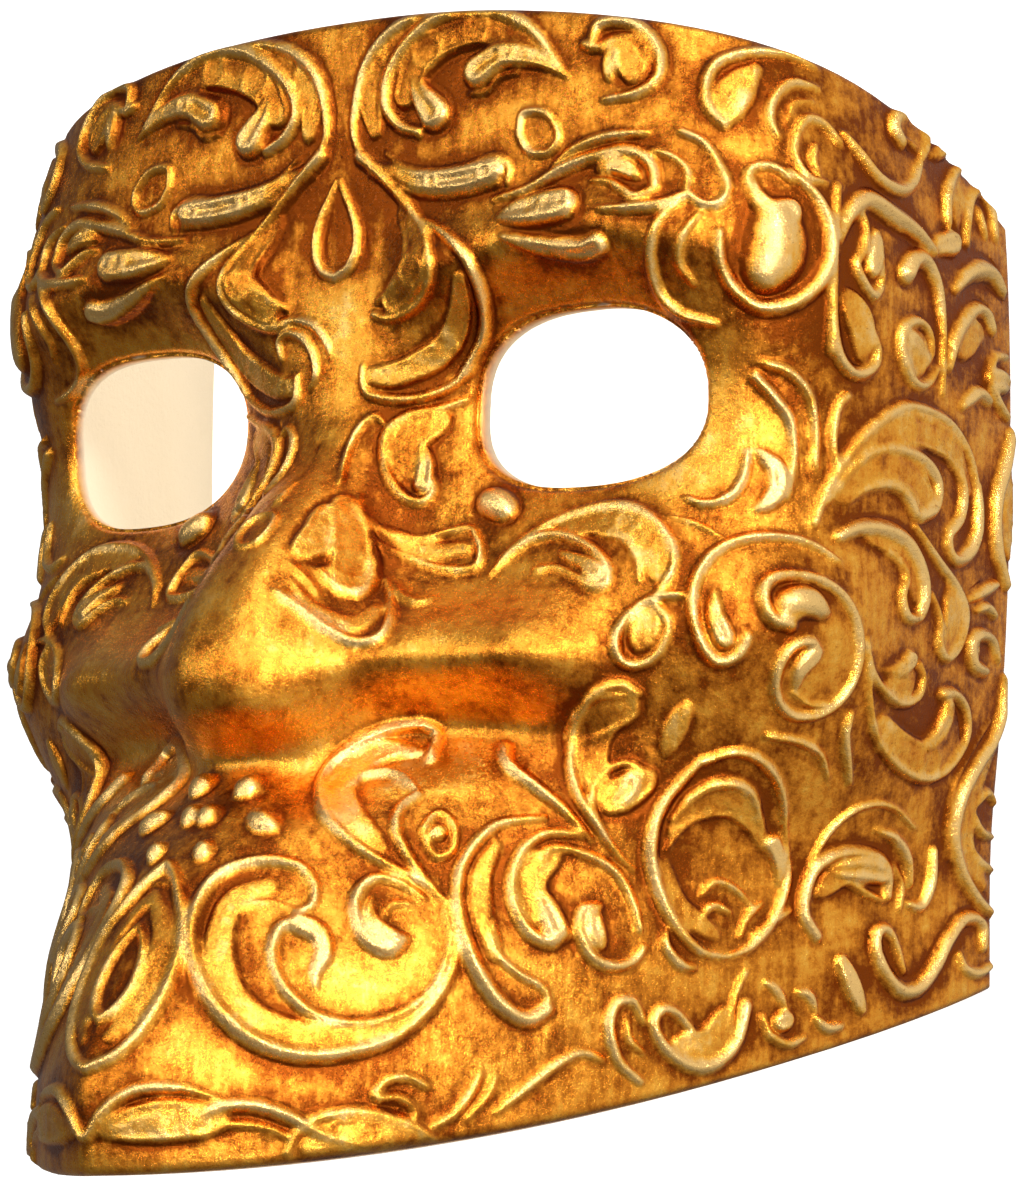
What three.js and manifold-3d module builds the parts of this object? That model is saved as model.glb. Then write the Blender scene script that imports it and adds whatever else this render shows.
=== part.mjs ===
// Bauta mask: a papier-mache shell with a nose, a brow, a ledge over the jutting chin, two oval
// eye holes and raised scrollwork. It lies face up on the two straight rims behind its cheeks.
// x runs across the face, y up it from the chin to the forehead, and z forward, out of the face.

import * as THREE from "three";
import Module from "manifold-3d";
import { mergeVertices } from "three/addons/utils/BufferGeometryUtils.js";

// Driving dimensions, in millimetres and degrees

const WALL = 3.4; // thickness of the papier-mache
const LEAST_SLANT = 0.55; // where it slants by more than this cosine, it isn't thickened further

// half width of the back rims: height on the face, half width
const RIM = [[-97, 80], [-64, 81], [-40, 81.5], [-15, 84], [5, 85.3], [30, 86], [59, 85.5], [97, 82]];

// level sections of the face: height, depth on the centreline, squareness
const FACE = [[-40, 74, 2.6], [-20, 74, 4.5], [-8, 74, 5.2], [5, 75, 3.9], [30, 75.5, 4.0],
  [44, 74.5, 4.6], [58, 73, 4.9], [75, 72.5, 4.2], [97, 71, 3.2]];

// level sections of the chin below the ledge: height, depth on the centreline, squareness
const CHIN = [[-97, 137, 1.45], [-80, 137, 1.42], [-61, 126.5, 1.52], [-44, 114, 1.62],
  [-28, 97, 2.1], [-8, 84, 2.6]];

// nose: height on the face, how far it stands out, its half width as an angle round the section
const NOSE = [[-55, 0, 11], [-42, 9, 11], [-32, 25, 10.5], [-24, 33, 10.5], [-16, 35.5, 10.5],
  [-8, 33, 10], [0, 27.5, 9], [8, 20, 8], [14, 13, 7.5], [20, 5.5, 7], [28, 1, 7], [40, 0, 8]];
const NOSE_FALL = 3; // how steeply the nose falls to its sides

// ledge from the nose tip to the cheek: a step back to the chin, a roll along its crest, and a
// shallow hollow under it; the turns are angles round from the nose
const LEDGE_Y = -28;
const LEDGE_RISE = -2; // how much higher it is on the cheek, so it sinks a little
const LEDGE_RISE_TURNS = [12, 38];
const LEDGE_HALF = 7; // half height of its step beside the nose
const LEDGE_FADE = 20; // added to that on the side of the face
const LEDGE_FADE_TURNS = [28, 60];
const ROLL_Y = -13;
const ROLL_RISE = -0.5;
const ROLL_OUT = 13;
const ROLL_ABOVE = 10; // half height of its upper side, which runs up the cheek
const ROLL_BELOW = 9;
const ROLL_START_TURNS = [3, 18];
const ROLL_END_TURNS = [26, 42];
const GROOVE = [-34, 3, 5]; // the hollow's height on the face, depth and half height
const INSIDE_GROOVE = [-27, 6, 10]; // wider inside the shell, so that its wall isn't thinned there
const GROOVE_START_TURNS = [2, 8];
const INSIDE_SOFT = 5; // how much softer the step is on the inside of the shell

// eye holes and the sockets round them
const EYE_X = 44.5;
const EYE_Y = 29.7;
const EYE_HALF_WIDTH = 20.6;
const EYE_HALF_HEIGHT = 14.6;
const EYE_SQUARE = 2.5; // power of the squared oval that the hole follows
const EYE_SIDES = 32;
const SOCKET_IN = 12;
const SOCKET_HALF_WIDTH = 28;
const SOCKET_HALF_HEIGHT = 20;
const SOCKET_END_TURNS = [62, 80]; // the socket fades out over these turns, towards the temple

// brow over the eyes
const BROW_Y = 52;
const BROW_ARCH = 4;
const BROW_OUT = 3.5;
const BROW_HALF = 6.5;
const BROW_ARCH_HALF = 18;
const BROW_START_X = [8, 20]; // it begins beside the nose and ends at the temple
const BROW_END_X = [60, 80];

// top edge: an arch from the side rims to the centreline
const TOP_SIDE = 63;
const TOP_MID = 96.3;
const TOP_ROUND = 2.33;

// bottom edge: from the side rims down to the chin
const BOTTOM_SIDE = -64;
const BOTTOM_MID = -96.3;
const BOTTOM_ROUND = 1.4;
const CHIN_REACH = 137;

// The face and chin form

function levels(y, table, column) {
  // smooth curve through the table's heights: cubic pieces that share a slope where they meet
  const last = table.length - 1;
  const at = Math.min(Math.max(y, table[0][0]), table[last][0]);
  let i = 0;
  while (i < last - 1 && at > table[i + 1][0]) i += 1;
  const slope = (k) => {
    if (k === 0 || k === last) {
      const a = k === 0 ? 0 : last - 1;
      return (table[a + 1][column] - table[a][column]) / (table[a + 1][0] - table[a][0]);
    }
    const below = table[k][0] - table[k - 1][0];
    const above = table[k + 1][0] - table[k][0];
    const fall = (table[k][column] - table[k - 1][column]) / below;
    const rise = (table[k + 1][column] - table[k][column]) / above;
    return (fall * above + rise * below) / (below + above);
  };
  const span = table[i + 1][0] - table[i][0];
  const s = (at - table[i][0]) / span;
  const start = (1 + 2 * s) * (1 - s) ** 2 * table[i][column] + s * (1 - s) ** 2 * span * slope(i);
  const end = s * s * (3 - 2 * s) * table[i + 1][column] + s * s * (s - 1) * span * slope(i + 1);
  return start + end;
}

function ease([from, to], x) {
  const t = Math.min(Math.max((x - from) / (to - from), 0), 1);
  return t * t * (3 - 2 * t);
}

function bump(distance, half) {
  return Math.exp(-((distance / half) ** 2));
}

function section(angle, width, depth, square) {
  const across = (Math.abs(Math.sin(angle)) / width) ** square;
  const forward = (Math.abs(Math.cos(angle)) / depth) ** square;
  return (across + forward) ** (-1 / square);
}

function radius(angle, y, inside) {
  // distance of the face from the upright axis of the mask, at an angle round from the nose;
  // the inside of the shell follows it with a softer ledge
  const turn = Math.abs(THREE.MathUtils.radToDeg(angle));
  const width = levels(y, RIM, 1);
  const nose = levels(y, NOSE, 1) / (1 + (turn / levels(y, NOSE, 2)) ** NOSE_FALL);
  const face = section(angle, width, levels(y, FACE, 1), levels(y, FACE, 2)) + nose;
  const chin = section(angle, width, levels(y, CHIN, 1), levels(y, CHIN, 2));
  const rise = ease(LEDGE_RISE_TURNS, turn);
  const step = LEDGE_Y + LEDGE_RISE * rise;
  const half = LEDGE_HALF + LEDGE_FADE * ease(LEDGE_FADE_TURNS, turn) + (inside ? INSIDE_SOFT : 0);
  const share = 1 - ease([step - half, step + half], y);
  const [grooveY, grooveIn, grooveHalf] = inside ? INSIDE_GROOVE : GROOVE;
  const groove = grooveIn * bump(y - grooveY - LEDGE_RISE * rise, grooveHalf) * ease(GROOVE_START_TURNS, turn);
  const overRoll = y - ROLL_Y - ROLL_RISE * rise;
  const rollHalf = overRoll > 0 ? ROLL_ABOVE : ROLL_BELOW;
  const roll = ROLL_OUT * bump(overRoll, rollHalf) * ease(ROLL_START_TURNS, turn);
  const beside = 1 - ease(ROLL_END_TURNS, turn);
  const bare = face * (1 - share) + chin * share + (roll - groove) * beside;
  const x = bare * Math.sin(Math.abs(angle));
  const socketU = (x - EYE_X) / SOCKET_HALF_WIDTH;
  const socketV = (y - EYE_Y - 1) / SOCKET_HALF_HEIGHT;
  const socketFade = 1 - ease(SOCKET_END_TURNS, turn);
  const socket = SOCKET_IN * Math.exp(-((socketU ** 2 + socketV ** 2) ** 1.4)) * socketFade;
  const browY = BROW_Y + BROW_ARCH * bump(x - EYE_X, BROW_ARCH_HALF);
  const brow = BROW_OUT * bump(y - browY, BROW_HALF) * ease(BROW_START_X, x) * (1 - ease(BROW_END_X, x));
  return bare - socket + brow;
}

function surface(angle, y, inside = false) {
  const r = radius(angle, y, inside);
  return new THREE.Vector3(r * Math.sin(angle), y, r * Math.cos(angle));
}

function outward(angle, y, inside = false) {
  const across = surface(angle + 0.02, y, inside).sub(surface(angle - 0.02, y, inside));
  const up = surface(angle, y + 1, inside).sub(surface(angle, y - 1, inside));
  return across.cross(up).normalize();
}

function topEdge(angle) {
  return TOP_SIDE + (TOP_MID - TOP_SIDE) * (1 - (Math.abs(angle) / (Math.PI / 2)) ** TOP_ROUND);
}

function bottomEdge(angle) {
  // the edge drops with its reach forward, so its height and its reach are settled together
  let y = BOTTOM_MID;
  for (let pass = 0; pass < 12; pass += 1) {
    const reach = Math.min(Math.max(surface(angle, y).z / CHIN_REACH, 0), 1);
    const edge = BOTTOM_SIDE + (BOTTOM_MID - BOTTOM_SIDE) * (1 - (1 - reach) ** BOTTOM_ROUND);
    y = (y + edge) / 2;
  }
  return y;
}

// The shell: an outer and an inner skin on one grid, joined round their rims

const COLUMNS = 32; // steps round the outer skin, even
const BANDS = [[-30, 6], [-5, 7], [48, 7]]; // rows up to each height, and the last ones up to the top edge
const TOP_ROWS = 4;
const ROWS = BANDS.reduce((sum, band) => sum + band[1], TOP_ROWS);

function columnAngle(j) {
  const t = 2 * j / COLUMNS - 1;
  return Math.PI / 2 * (0.7 * t + 0.3 * t ** 3);
}

function rowHeight(i, angle) {
  let from = bottomEdge(angle);
  let first = 0;
  for (const [to, count] of [...BANDS, [topEdge(angle), TOP_ROWS]]) {
    if (i <= first + count) return from + (to - from) * (i - first) / count;
    first += count;
    from = to;
  }
  return from;
}

function skinPoint(i, j, depth) {
  // the inner skin lies straight in from the outer one, further where the wall slants
  const angle = columnAngle(j);
  const y = rowHeight(i, angle);
  const point = surface(angle, y, depth > 0);
  const radial = new THREE.Vector3(Math.sin(angle), 0, Math.cos(angle));
  const slant = Math.max(outward(angle, y, depth > 0).dot(radial), LEAST_SLANT);
  return point.addScaledVector(radial, -depth / slant);
}

function shell() {
  const points = [];
  const faces = [];
  const outer = [];
  for (let i = 0; i <= ROWS; i += 1) {
    outer.push([]);
    for (let j = 0; j <= COLUMNS; j += 1) {
      outer[i].push(points.length);
      points.push(skinPoint(i, j, 0));
    }
  }
  const inner = [];
  for (let i = 0; i <= ROWS; i += 2) {
    inner.push([]);
    for (let j = 0; j <= COLUMNS; j += 2) {
      inner[i / 2].push(points.length);
      points.push(skinPoint(i, j, WALL));
    }
  }
  const cells = (skin, out) => {
    for (let i = 0; i + 1 < skin.length; i += 1) {
      for (let j = 0; j + 1 < skin[0].length; j += 1) {
        const [a, b, c, d] = [skin[i][j], skin[i][j + 1], skin[i + 1][j + 1], skin[i + 1][j]];
        if (out) faces.push(a, b, c, a, c, d);
        else faces.push(a, c, b, a, d, c);
      }
    }
  };
  cells(outer, true);
  cells(inner, false);
  // a rim joins an inner edge to the outer edge, which has two steps for each of its own
  const rim = (inside, outside) => {
    for (let k = 0; k + 1 < inside.length; k += 1) {
      const [a, b] = [inside[k], inside[k + 1]];
      const [p, q, r] = [outside[2 * k], outside[2 * k + 1], outside[2 * k + 2]];
      faces.push(a, q, p, a, b, q, b, r, q);
    }
  };
  const left = (skin) => skin.map((row) => row[0]);
  const right = (skin) => skin.map((row) => row[row.length - 1]);
  rim(inner[0], outer[0]);
  rim(inner.at(-1).toReversed(), outer.at(-1).toReversed());
  rim(left(inner).toReversed(), left(outer).toReversed());
  rim(right(inner), right(outer));
  const geometry = new THREE.BufferGeometry();
  geometry.setAttribute("position", new THREE.Float32BufferAttribute(points.flatMap((p) => p.toArray()), 3));
  geometry.setIndex(faces);
  return geometry;
}

// The scrollwork: cords and leaves of gesso laid along curls, the same on both sides of the face.
// Each is its half width and the places it passes through: millimetres round the face from the
// back rim, and height on the face.

const SCROLLS = {
  forehead: [
    [1.9, [92.5, 83], [96, 90], [111, 93], [124, 86.5], [127, 81], [125.6, 77], [122, 75.2]],
    [1.5, [109, 94], [116, 93.6], [129, 87.6], [134.8, 76.3], [134.3, 72.8]],
    [1.6, [134.5, 72.5], [126.5, 62], [122.6, 51.3], [129, 44.6], [133.5, 45.5]],
    [2.2, [131, 70.6], [124, 67.2], [109.2, 67.2]],
  ],
  brow: [
    [1.4, [80.6, 62], [84, 68.1], [110.5, 62.2]],
    [1.6, [58.5, 64.5], [54, 60.5], [51.6, 51], [58.5, 43], [63.5, 42.3], [70.7, 49.6], [71, 54]],
  ],
  temple: [
    [2.1, [22.6, 32], [24.5, 49.5], [31, 53], [33.2, 50.6]],
    [2.1, [25, 55], [43, 61.3], [49.8, 54]],
  ],
  eyeSide: [
    [1.2, [12.3, 17.5], [20, 26.8], [33, 28.7], [44, 21.5], [52.5, 8]],
    [1.4, [28.6, 11.2], [24.9, 13], [27.6, 20.2], [40, 20.8], [50, 11.5]],
    [1.8, [4, 28], [4, 22], [6.6, 12], [4, 2.6]],
  ],
  cheek: [
    [2, [48, 6.2], [43.5, 8], [33, 6.6], [28, -1], [28.6, -4]],
    [1.2, [30, 9.5], [15, -3.5], [20, -11.1], [22.6, -9], [22.8, -5], [25.5, -1]],
    [1.5, [59.5, -8.8], [62.8, -7.9], [62, -1.5], [50.5, -2.5], [44, -13], [49, -22], [58, -20.6],
      [58.7, -12.5], [55.5, -11.2], [53.4, -12.7]],
    [1.2, [48.5, 2], [54, 4.8], [66, 4.7], [74.6, -2.5], [73.7, -11.5], [70.3, -14.8], [67.2, -13.8],
      [66.4, -11]],
    [1.3, [42.5, -10], [39.5, -19.5], [32, -28], [21.5, -30.7], [13.4, -25.5], [13.6, -18.5], [20.4, -17]],
    [1.2, [80.5, -3.4], [76.6, 4], [82.6, 10.8], [95, 9.4], [106.5, 3]],
  ],
  noseSide: [
    [1.2, [113.5, 31.2], [126.2, 26], [124.5, 17.6], [118.6, 13.5], [118, 19.3]],
    [1.3, [137.5, 1.2], [131, -2.6], [127.4, 2.4], [129.6, 8.6]],
    [1.2, [126, 0], [124.8, -8.2], [130, -11.2], [138, -7.2]],
  ],
  jaw: [
    [1.3, [110.6, -29.5], [111.6, -25.7], [120, -24.6], [126.7, -33], [121, -43.4], [109, -50.6],
      [105.3, -54.2]],
    [1.3, [81, -19.7], [84.8, -18.2], [88.3, -20], [88, -30], [81, -41], [74.5, -47.6]],
    [1.5, [84.5, -42], [90, -42.2], [94, -45.8], [95.4, -52], [93.4, -57.5], [90, -59.3], [87.2, -58]],
    [1.5, [90, -39.6], [97, -40.6], [103.6, -49], [103.2, -61], [97.3, -69.9], [93.5, -71.6], [90.3, -70]],
    [1.3, [106.5, -54.5], [109, -66.5], [121, -72.7], [132.8, -67.3], [132.8, -57.9], [129.8, -56.6]],
    [1.7, [104.9, -57], [105.6, -63], [115, -74.4], [131, -77.6], [143.4, -70.4], [146.5, -58],
      [140.4, -48.6], [129, -47.7], [127.2, -54], [130, -55.4]],
  ],
  medallion: [
    [1.5, [67.2, -30], [72, -43], [67.8, -55.8], [63.5, -60], [58.5, -60.9]],
  ],
  jawBack: [
    [1.7, [4, -13], [4, -23.5], [8.3, -28], [12.4, -39], [4, -51.5]],
    [1.4, [26.3, -50], [29.6, -43.7], [41, -45.5], [43.4, -53.5], [41, -57]],
  ],
  bottomEdge: [
    [1.6, [3.3, -57.3], [3.3, -54], [9, -53.2], [19, -64.4], [26.2, -63], [28.7, -59], [26.4, -55.4],
      [22.8, -62]],
    [1.3, [54.5, -68.5], [56.2, -74.5], [65, -78.2], [71.4, -72], [67.8, -69.8], [62.7, -75]],
    [1.4, [113.5, -91], [120, -91.6], [139, -85.4], [148.4, -89]],
  ],
  chin: [
    [1.5, [156, -44.5], [151, -46.3], [148.2, -51], [148.2, -60], [152, -69.5], [158, -77], [164, -80]],
  ],
};

const CORD_WIDE = 1.2; // half width of a cord's foot as a share of the one listed
const CORD_TALL = 0.7; // height of a cord as a share of its half width, over CORD_LEAST
const CORD_LEAST = 0.45;
const CORD_STEP = 9; // longest straight step along it
const CORD_TURN = 60; // and the most that it turns in one step, in degrees
const CORD_SUNK = 0.9; // how far its foot is sunk into the shell
const CORD_END = 0.55; // half width of its two ends as a share of the middle's

// where a place on the face lies, by the length of its level section from the back rim
const ROUND_STEPS = 300;
const ROUND_PAST = 0.4; // the strokes near the middle may cross it by this angle
const roundAngle = (k) => Math.PI / 2 - k * (Math.PI / 2 + ROUND_PAST) / ROUND_STEPS;
const sections = new Map();

function sectionLengths(y) {
  if (!sections.has(y)) {
    const lengths = [0];
    let last = surface(roundAngle(0), y);
    for (let k = 1; k <= ROUND_STEPS; k += 1) {
      const next = surface(roundAngle(k), y);
      lengths.push(lengths[k - 1] + next.distanceTo(last));
      last = next;
    }
    sections.set(y, lengths);
  }
  return sections.get(y);
}

function angleAt(q, y) {
  const lengths = sectionLengths(Math.round(y));
  let k = 1;
  while (k < ROUND_STEPS && lengths[k] < q) k += 1;
  return roundAngle(k - 1 + (q - lengths[k - 1]) / (lengths[k] - lengths[k - 1]));
}

function cordSteps(places) {
  // places along the curve, close enough for its length and its turns
  const curve = new THREE.CatmullRomCurve3(places.map(([q, y]) => new THREE.Vector3(q, y, 0)), false, "catmullrom");
  const fine = curve.getSpacedPoints(Math.ceil(curve.getLength()));
  const kept = [fine[0]];
  let heading = null;
  for (let k = 1; k + 1 < fine.length; k += 1) {
    const step = fine[k].clone().sub(kept.at(-1));
    const ahead = fine[k + 1].clone().sub(fine[k]);
    heading ??= fine[1].clone().sub(fine[0]);
    const turned = THREE.MathUtils.radToDeg(ahead.angleTo(heading));
    if (step.length() >= CORD_STEP || turned >= CORD_TURN) {
      kept.push(fine[k]);
      heading = ahead;
    }
  }
  kept.push(fine.at(-1));
  return kept;
}

function cord(side, [halfWidth, ...places]) {
  // a roof-shaped section carried along the curl: two feet sunk in the shell, and a ridge
  const steps = cordSteps(places);
  const centres = steps.map(({ x, y }) => {
    const angle = side * angleAt(x, y);
    return { point: surface(angle, y), out: outward(angle, y) };
  });
  const points = [];
  centres.forEach(({ point, out }, k) => {
    const before = centres[Math.max(k - 1, 0)].point;
    const after = centres[Math.min(k + 1, centres.length - 1)].point;
    const share = k / (centres.length - 1);
    const wide = halfWidth * CORD_WIDE * (CORD_END + (1 - CORD_END) * Math.sin(Math.PI * share));
    const across = after.clone().sub(before).cross(out).normalize();
    const foot = point.clone().addScaledVector(out, -CORD_SUNK);
    const tall = CORD_LEAST + CORD_TALL * wide;
    const spread = wide * (1 + CORD_SUNK / tall);
    points.push(foot.clone().addScaledVector(across, spread));
    points.push(point.clone().addScaledVector(out, tall));
    points.push(foot.clone().addScaledVector(across, -spread));
  });
  const faces = [0, 1, 2];
  for (let k = 0; k + 1 < centres.length; k += 1) {
    for (let i = 0; i < 3; i += 1) {
      const [a, b] = [3 * k + i, 3 * k + (i + 1) % 3];
      faces.push(a, a + 3, b, b, a + 3, b + 3);
    }
  }
  const last = points.length - 3;
  faces.push(last, last + 2, last + 1);
  const geometry = new THREE.BufferGeometry();
  geometry.setAttribute("position", new THREE.Float32BufferAttribute(points.flatMap((p) => p.toArray()), 3));
  geometry.setIndex(faces);
  return geometry;
}

// Solids for joining and cutting

const wasm = await Module();
wasm.setup();

function solid(geometry) {
  const bare = geometry.clone();
  for (const name of ["normal", "uv"]) bare.deleteAttribute(name);
  const merged = mergeVertices(bare, 1e-4);
  return new wasm.Manifold(new wasm.Mesh({
    numProp: 3,
    vertProperties: new Float32Array(merged.attributes.position.array),
    triVerts: new Uint32Array(merged.index.array),
  }));
}

function geometryOf(manifold) {
  const mesh = manifold.getMesh();
  const geometry = new THREE.BufferGeometry();
  geometry.setAttribute("position", new THREE.BufferAttribute(mesh.vertProperties, 3));
  geometry.setIndex(new THREE.BufferAttribute(mesh.triVerts, 1));
  const flat = geometry.toNonIndexed();
  flat.computeVertexNormals();
  return flat;
}

// a plug with the outline |x / half width|^n + |y / half height|^n = 1, drawn along z
function eyeHole(side) {
  const outline = [];
  for (let i = 0; i < EYE_SIDES; i++) {
    const across = Math.cos((i / EYE_SIDES) * Math.PI * 2);
    const up = Math.sin((i / EYE_SIDES) * Math.PI * 2);
    outline.push(new THREE.Vector2(
      EYE_HALF_WIDTH * Math.sign(across) * Math.abs(across) ** (2 / EYE_SQUARE),
      EYE_HALF_HEIGHT * Math.sign(up) * Math.abs(up) ** (2 / EYE_SQUARE),
    ));
  }
  const oval = new THREE.Shape(outline);
  const plug = new THREE.ExtrudeGeometry(oval, { depth: 2 * CHIN_REACH, bevelEnabled: false });
  plug.translate(side * EYE_X, EYE_Y, 10);
  return solid(plug);
}

let mask = solid(shell());
for (const side of [1, -1]) {
  for (const stroke of Object.values(SCROLLS).flat()) mask = mask.add(solid(cord(side, stroke)));
  mask = mask.subtract(eyeHole(side));
}

const gilding = new THREE.MeshStandardMaterial({ color: 0xc8923c, roughness: 0.35, metalness: 1 });

const part = new THREE.Group();
const mesh = new THREE.Mesh(geometryOf(mask), gilding);
mesh.name = "mask_shell";
part.add(mesh);

export default part;
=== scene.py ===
import math

import bpy
import numpy as np
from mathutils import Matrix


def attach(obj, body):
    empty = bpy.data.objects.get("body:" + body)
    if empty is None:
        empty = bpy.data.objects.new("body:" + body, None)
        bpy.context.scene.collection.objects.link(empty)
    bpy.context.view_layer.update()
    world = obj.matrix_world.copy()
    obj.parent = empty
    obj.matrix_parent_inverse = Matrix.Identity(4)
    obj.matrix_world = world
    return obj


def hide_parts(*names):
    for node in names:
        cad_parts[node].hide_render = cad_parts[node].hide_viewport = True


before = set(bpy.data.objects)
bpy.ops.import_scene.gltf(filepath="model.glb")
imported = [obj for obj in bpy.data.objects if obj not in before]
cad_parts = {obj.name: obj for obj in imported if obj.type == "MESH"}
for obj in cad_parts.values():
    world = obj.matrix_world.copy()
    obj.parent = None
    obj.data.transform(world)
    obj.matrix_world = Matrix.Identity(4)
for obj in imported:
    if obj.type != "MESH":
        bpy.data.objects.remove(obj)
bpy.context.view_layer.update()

# The mask is one papier-mache shell, pressed in a mould: a squared forehead and cheeks, a nose,
# and a wedge of a chin that juts out below a ledge. Its sizes are in millimetres, with x across
# the face, y up it and z out of it, and its turns are degrees round from the nose.
MM = 0.001
WALL = 3.4
LEAST_SLANT = 0.55
RIM = [(-97, 80), (-64, 81), (-40, 81.5), (-15, 84), (5, 85.3), (30, 86), (59, 85.5), (97, 82)]
FACE = [(-40, 74, 2.6), (-20, 74, 4.5), (-8, 74, 5.2), (5, 75, 3.9), (30, 75.5, 4.0),
        (44, 74.5, 4.6), (58, 73, 4.9), (75, 72.5, 4.2), (97, 71, 3.2)]
CHIN = [(-97, 137, 1.45), (-80, 137, 1.42), (-61, 126.5, 1.52), (-44, 114, 1.62),
        (-28, 97, 2.1), (-8, 84, 2.6)]
NOSE = [(-55, 0, 11), (-42, 9, 11), (-32, 25, 10.5), (-24, 33, 10.5), (-16, 35.5, 10.5),
        (-8, 33, 10), (0, 27.5, 9), (8, 20, 8), (14, 13, 7.5), (20, 5.5, 7), (28, 1, 7),
        (40, 0, 8)]
NOSE_FALL = 3
LEDGE_Y, LEDGE_RISE, LEDGE_HALF, LEDGE_FADE = -28, -2, 7, 20
LEDGE_RISE_TURNS, LEDGE_FADE_TURNS = (12, 38), (28, 60)
ROLL_Y, ROLL_RISE, ROLL_OUT, ROLL_ABOVE, ROLL_BELOW = -13, -0.5, 13, 10, 9
ROLL_START_TURNS, ROLL_END_TURNS = (3, 18), (26, 42)
GROOVE = (-34, 3, 5)
INSIDE_GROOVE = (-27, 6, 10)
GROOVE_START_TURNS = (2, 8)
INSIDE_SOFT = 5
EYE_X, EYE_Y, EYE_HALF_WIDTH, EYE_HALF_HEIGHT, EYE_SQUARE = 44.5, 29.7, 20.6, 14.6, 2.5
SOCKET_IN, SOCKET_HALF_WIDTH, SOCKET_HALF_HEIGHT = 12, 28, 20
SOCKET_RISE, SOCKET_FALL, SOCKET_END_TURNS = 1, 1.4, (62, 80)
BROW_Y, BROW_ARCH, BROW_ARCH_HALF, BROW_OUT, BROW_HALF = 52, 4, 18, 3.5, 6.5
BROW_START_X, BROW_END_X = (8, 20), (60, 80)
TOP_SIDE, TOP_MID, TOP_ROUND = 63, 96.3, 2.33
BOTTOM_SIDE, BOTTOM_MID, BOTTOM_ROUND, CHIN_REACH = -64, -96.3, 1.4, 137


def levels(y, table, column):
    """Smooth curve through the table's heights: cubic pieces that share a slope where they meet."""
    rows = np.array(table, float)
    ys, values = rows[:, 0], rows[:, column]
    slopes = np.gradient(values, ys)
    y = np.clip(y, ys[0], ys[-1])
    i = np.clip(np.searchsorted(ys, y, side="right") - 1, 0, len(ys) - 2)
    span = ys[i + 1] - ys[i]
    s = (y - ys[i]) / span
    start = (1 + 2 * s) * (1 - s) ** 2 * values[i] + s * (1 - s) ** 2 * span * slopes[i]
    end = s * s * (3 - 2 * s) * values[i + 1] + s * s * (s - 1) * span * slopes[i + 1]
    return start + end


def ease(low, high, x):
    """0 below low, 1 above high, and 3t^2 - 2t^3 between them."""
    t = np.clip((x - low) / (high - low), 0, 1)
    return t * t * (3 - 2 * t)


def bump(distance, half):
    """Bell curve, 1 in the middle: e^-(distance/half)^2."""
    return np.exp(-((distance / half) ** 2))


def section(angle, width, depth, square):
    """Radius of a squared oval: ((sin a / width)^n + (cos a / depth)^n)^(-1/n)."""
    across = (np.abs(np.sin(angle)) / width) ** square
    forward = (np.abs(np.cos(angle)) / depth) ** square
    return (across + forward) ** (-1 / square)


def radius(angle, y, inside=False):
    """Distance of the face from the mask's upright axis, at an angle round from the nose.
    A face section and a chin section are blended over the ledge's step, then the nose, the
    ledge's roll and groove, the eye sockets and the brow are added as bell curves."""
    turn = np.abs(np.degrees(angle))
    width = levels(y, RIM, 1)
    nose = levels(y, NOSE, 1) / (1 + (turn / levels(y, NOSE, 2)) ** NOSE_FALL)
    face = section(angle, width, levels(y, FACE, 1), levels(y, FACE, 2)) + nose
    chin = section(angle, width, levels(y, CHIN, 1), levels(y, CHIN, 2))
    rise = ease(*LEDGE_RISE_TURNS, turn)
    step = LEDGE_Y + LEDGE_RISE * rise
    half = LEDGE_HALF + LEDGE_FADE * ease(*LEDGE_FADE_TURNS, turn) + (INSIDE_SOFT if inside else 0)
    share = 1 - ease(step - half, step + half, y)
    beside = 1 - ease(*ROLL_END_TURNS, turn)
    groove_y, groove_in, groove_half = INSIDE_GROOVE if inside else GROOVE
    groove = groove_in * bump(y - groove_y - LEDGE_RISE * rise, groove_half)
    groove = groove * ease(*GROOVE_START_TURNS, turn)
    over_roll = y - ROLL_Y - ROLL_RISE * rise
    roll_half = np.where(over_roll > 0, ROLL_ABOVE, ROLL_BELOW)
    roll = ROLL_OUT * bump(over_roll, roll_half) * ease(*ROLL_START_TURNS, turn)
    bare = face * (1 - share) + chin * share + (roll - groove) * beside
    x = bare * np.sin(np.abs(angle))
    u = (x - EYE_X) / SOCKET_HALF_WIDTH
    v = (y - EYE_Y - SOCKET_RISE) / SOCKET_HALF_HEIGHT
    socket = SOCKET_IN * np.exp(-((u * u + v * v) ** SOCKET_FALL)) * (1 - ease(*SOCKET_END_TURNS, turn))
    brow_y = BROW_Y + BROW_ARCH * bump(x - EYE_X, BROW_ARCH_HALF)
    brow = BROW_OUT * bump(y - brow_y, BROW_HALF) * ease(*BROW_START_X, x) * (1 - ease(*BROW_END_X, x))
    return bare - socket + brow


def surface(angle, y, inside=False):
    """Points (r sin a, y, r cos a) of the face."""
    r = radius(angle, y, inside)
    return np.stack([r * np.sin(angle), y + 0 * r, r * np.cos(angle)], -1)


def edge_heights(angle):
    """The bottom and top edges at each angle. The bottom edge drops with its reach forward,
    so its height and its reach are settled together."""
    top = TOP_SIDE + (TOP_MID - TOP_SIDE) * (1 - (np.abs(angle) / (math.pi / 2)) ** TOP_ROUND)
    bottom = np.full_like(angle, BOTTOM_MID)
    for _ in range(12):
        reach = np.clip(surface(angle, bottom)[..., 2] / CHIN_REACH, 0, 1)
        edge = BOTTOM_SIDE + (BOTTOM_MID - BOTTOM_SIDE) * (1 - (1 - reach) ** BOTTOM_ROUND)
        bottom = (bottom + edge) / 2
    return bottom, top


COLUMNS, ROWS = 840, 540
COARSE = 6


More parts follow.
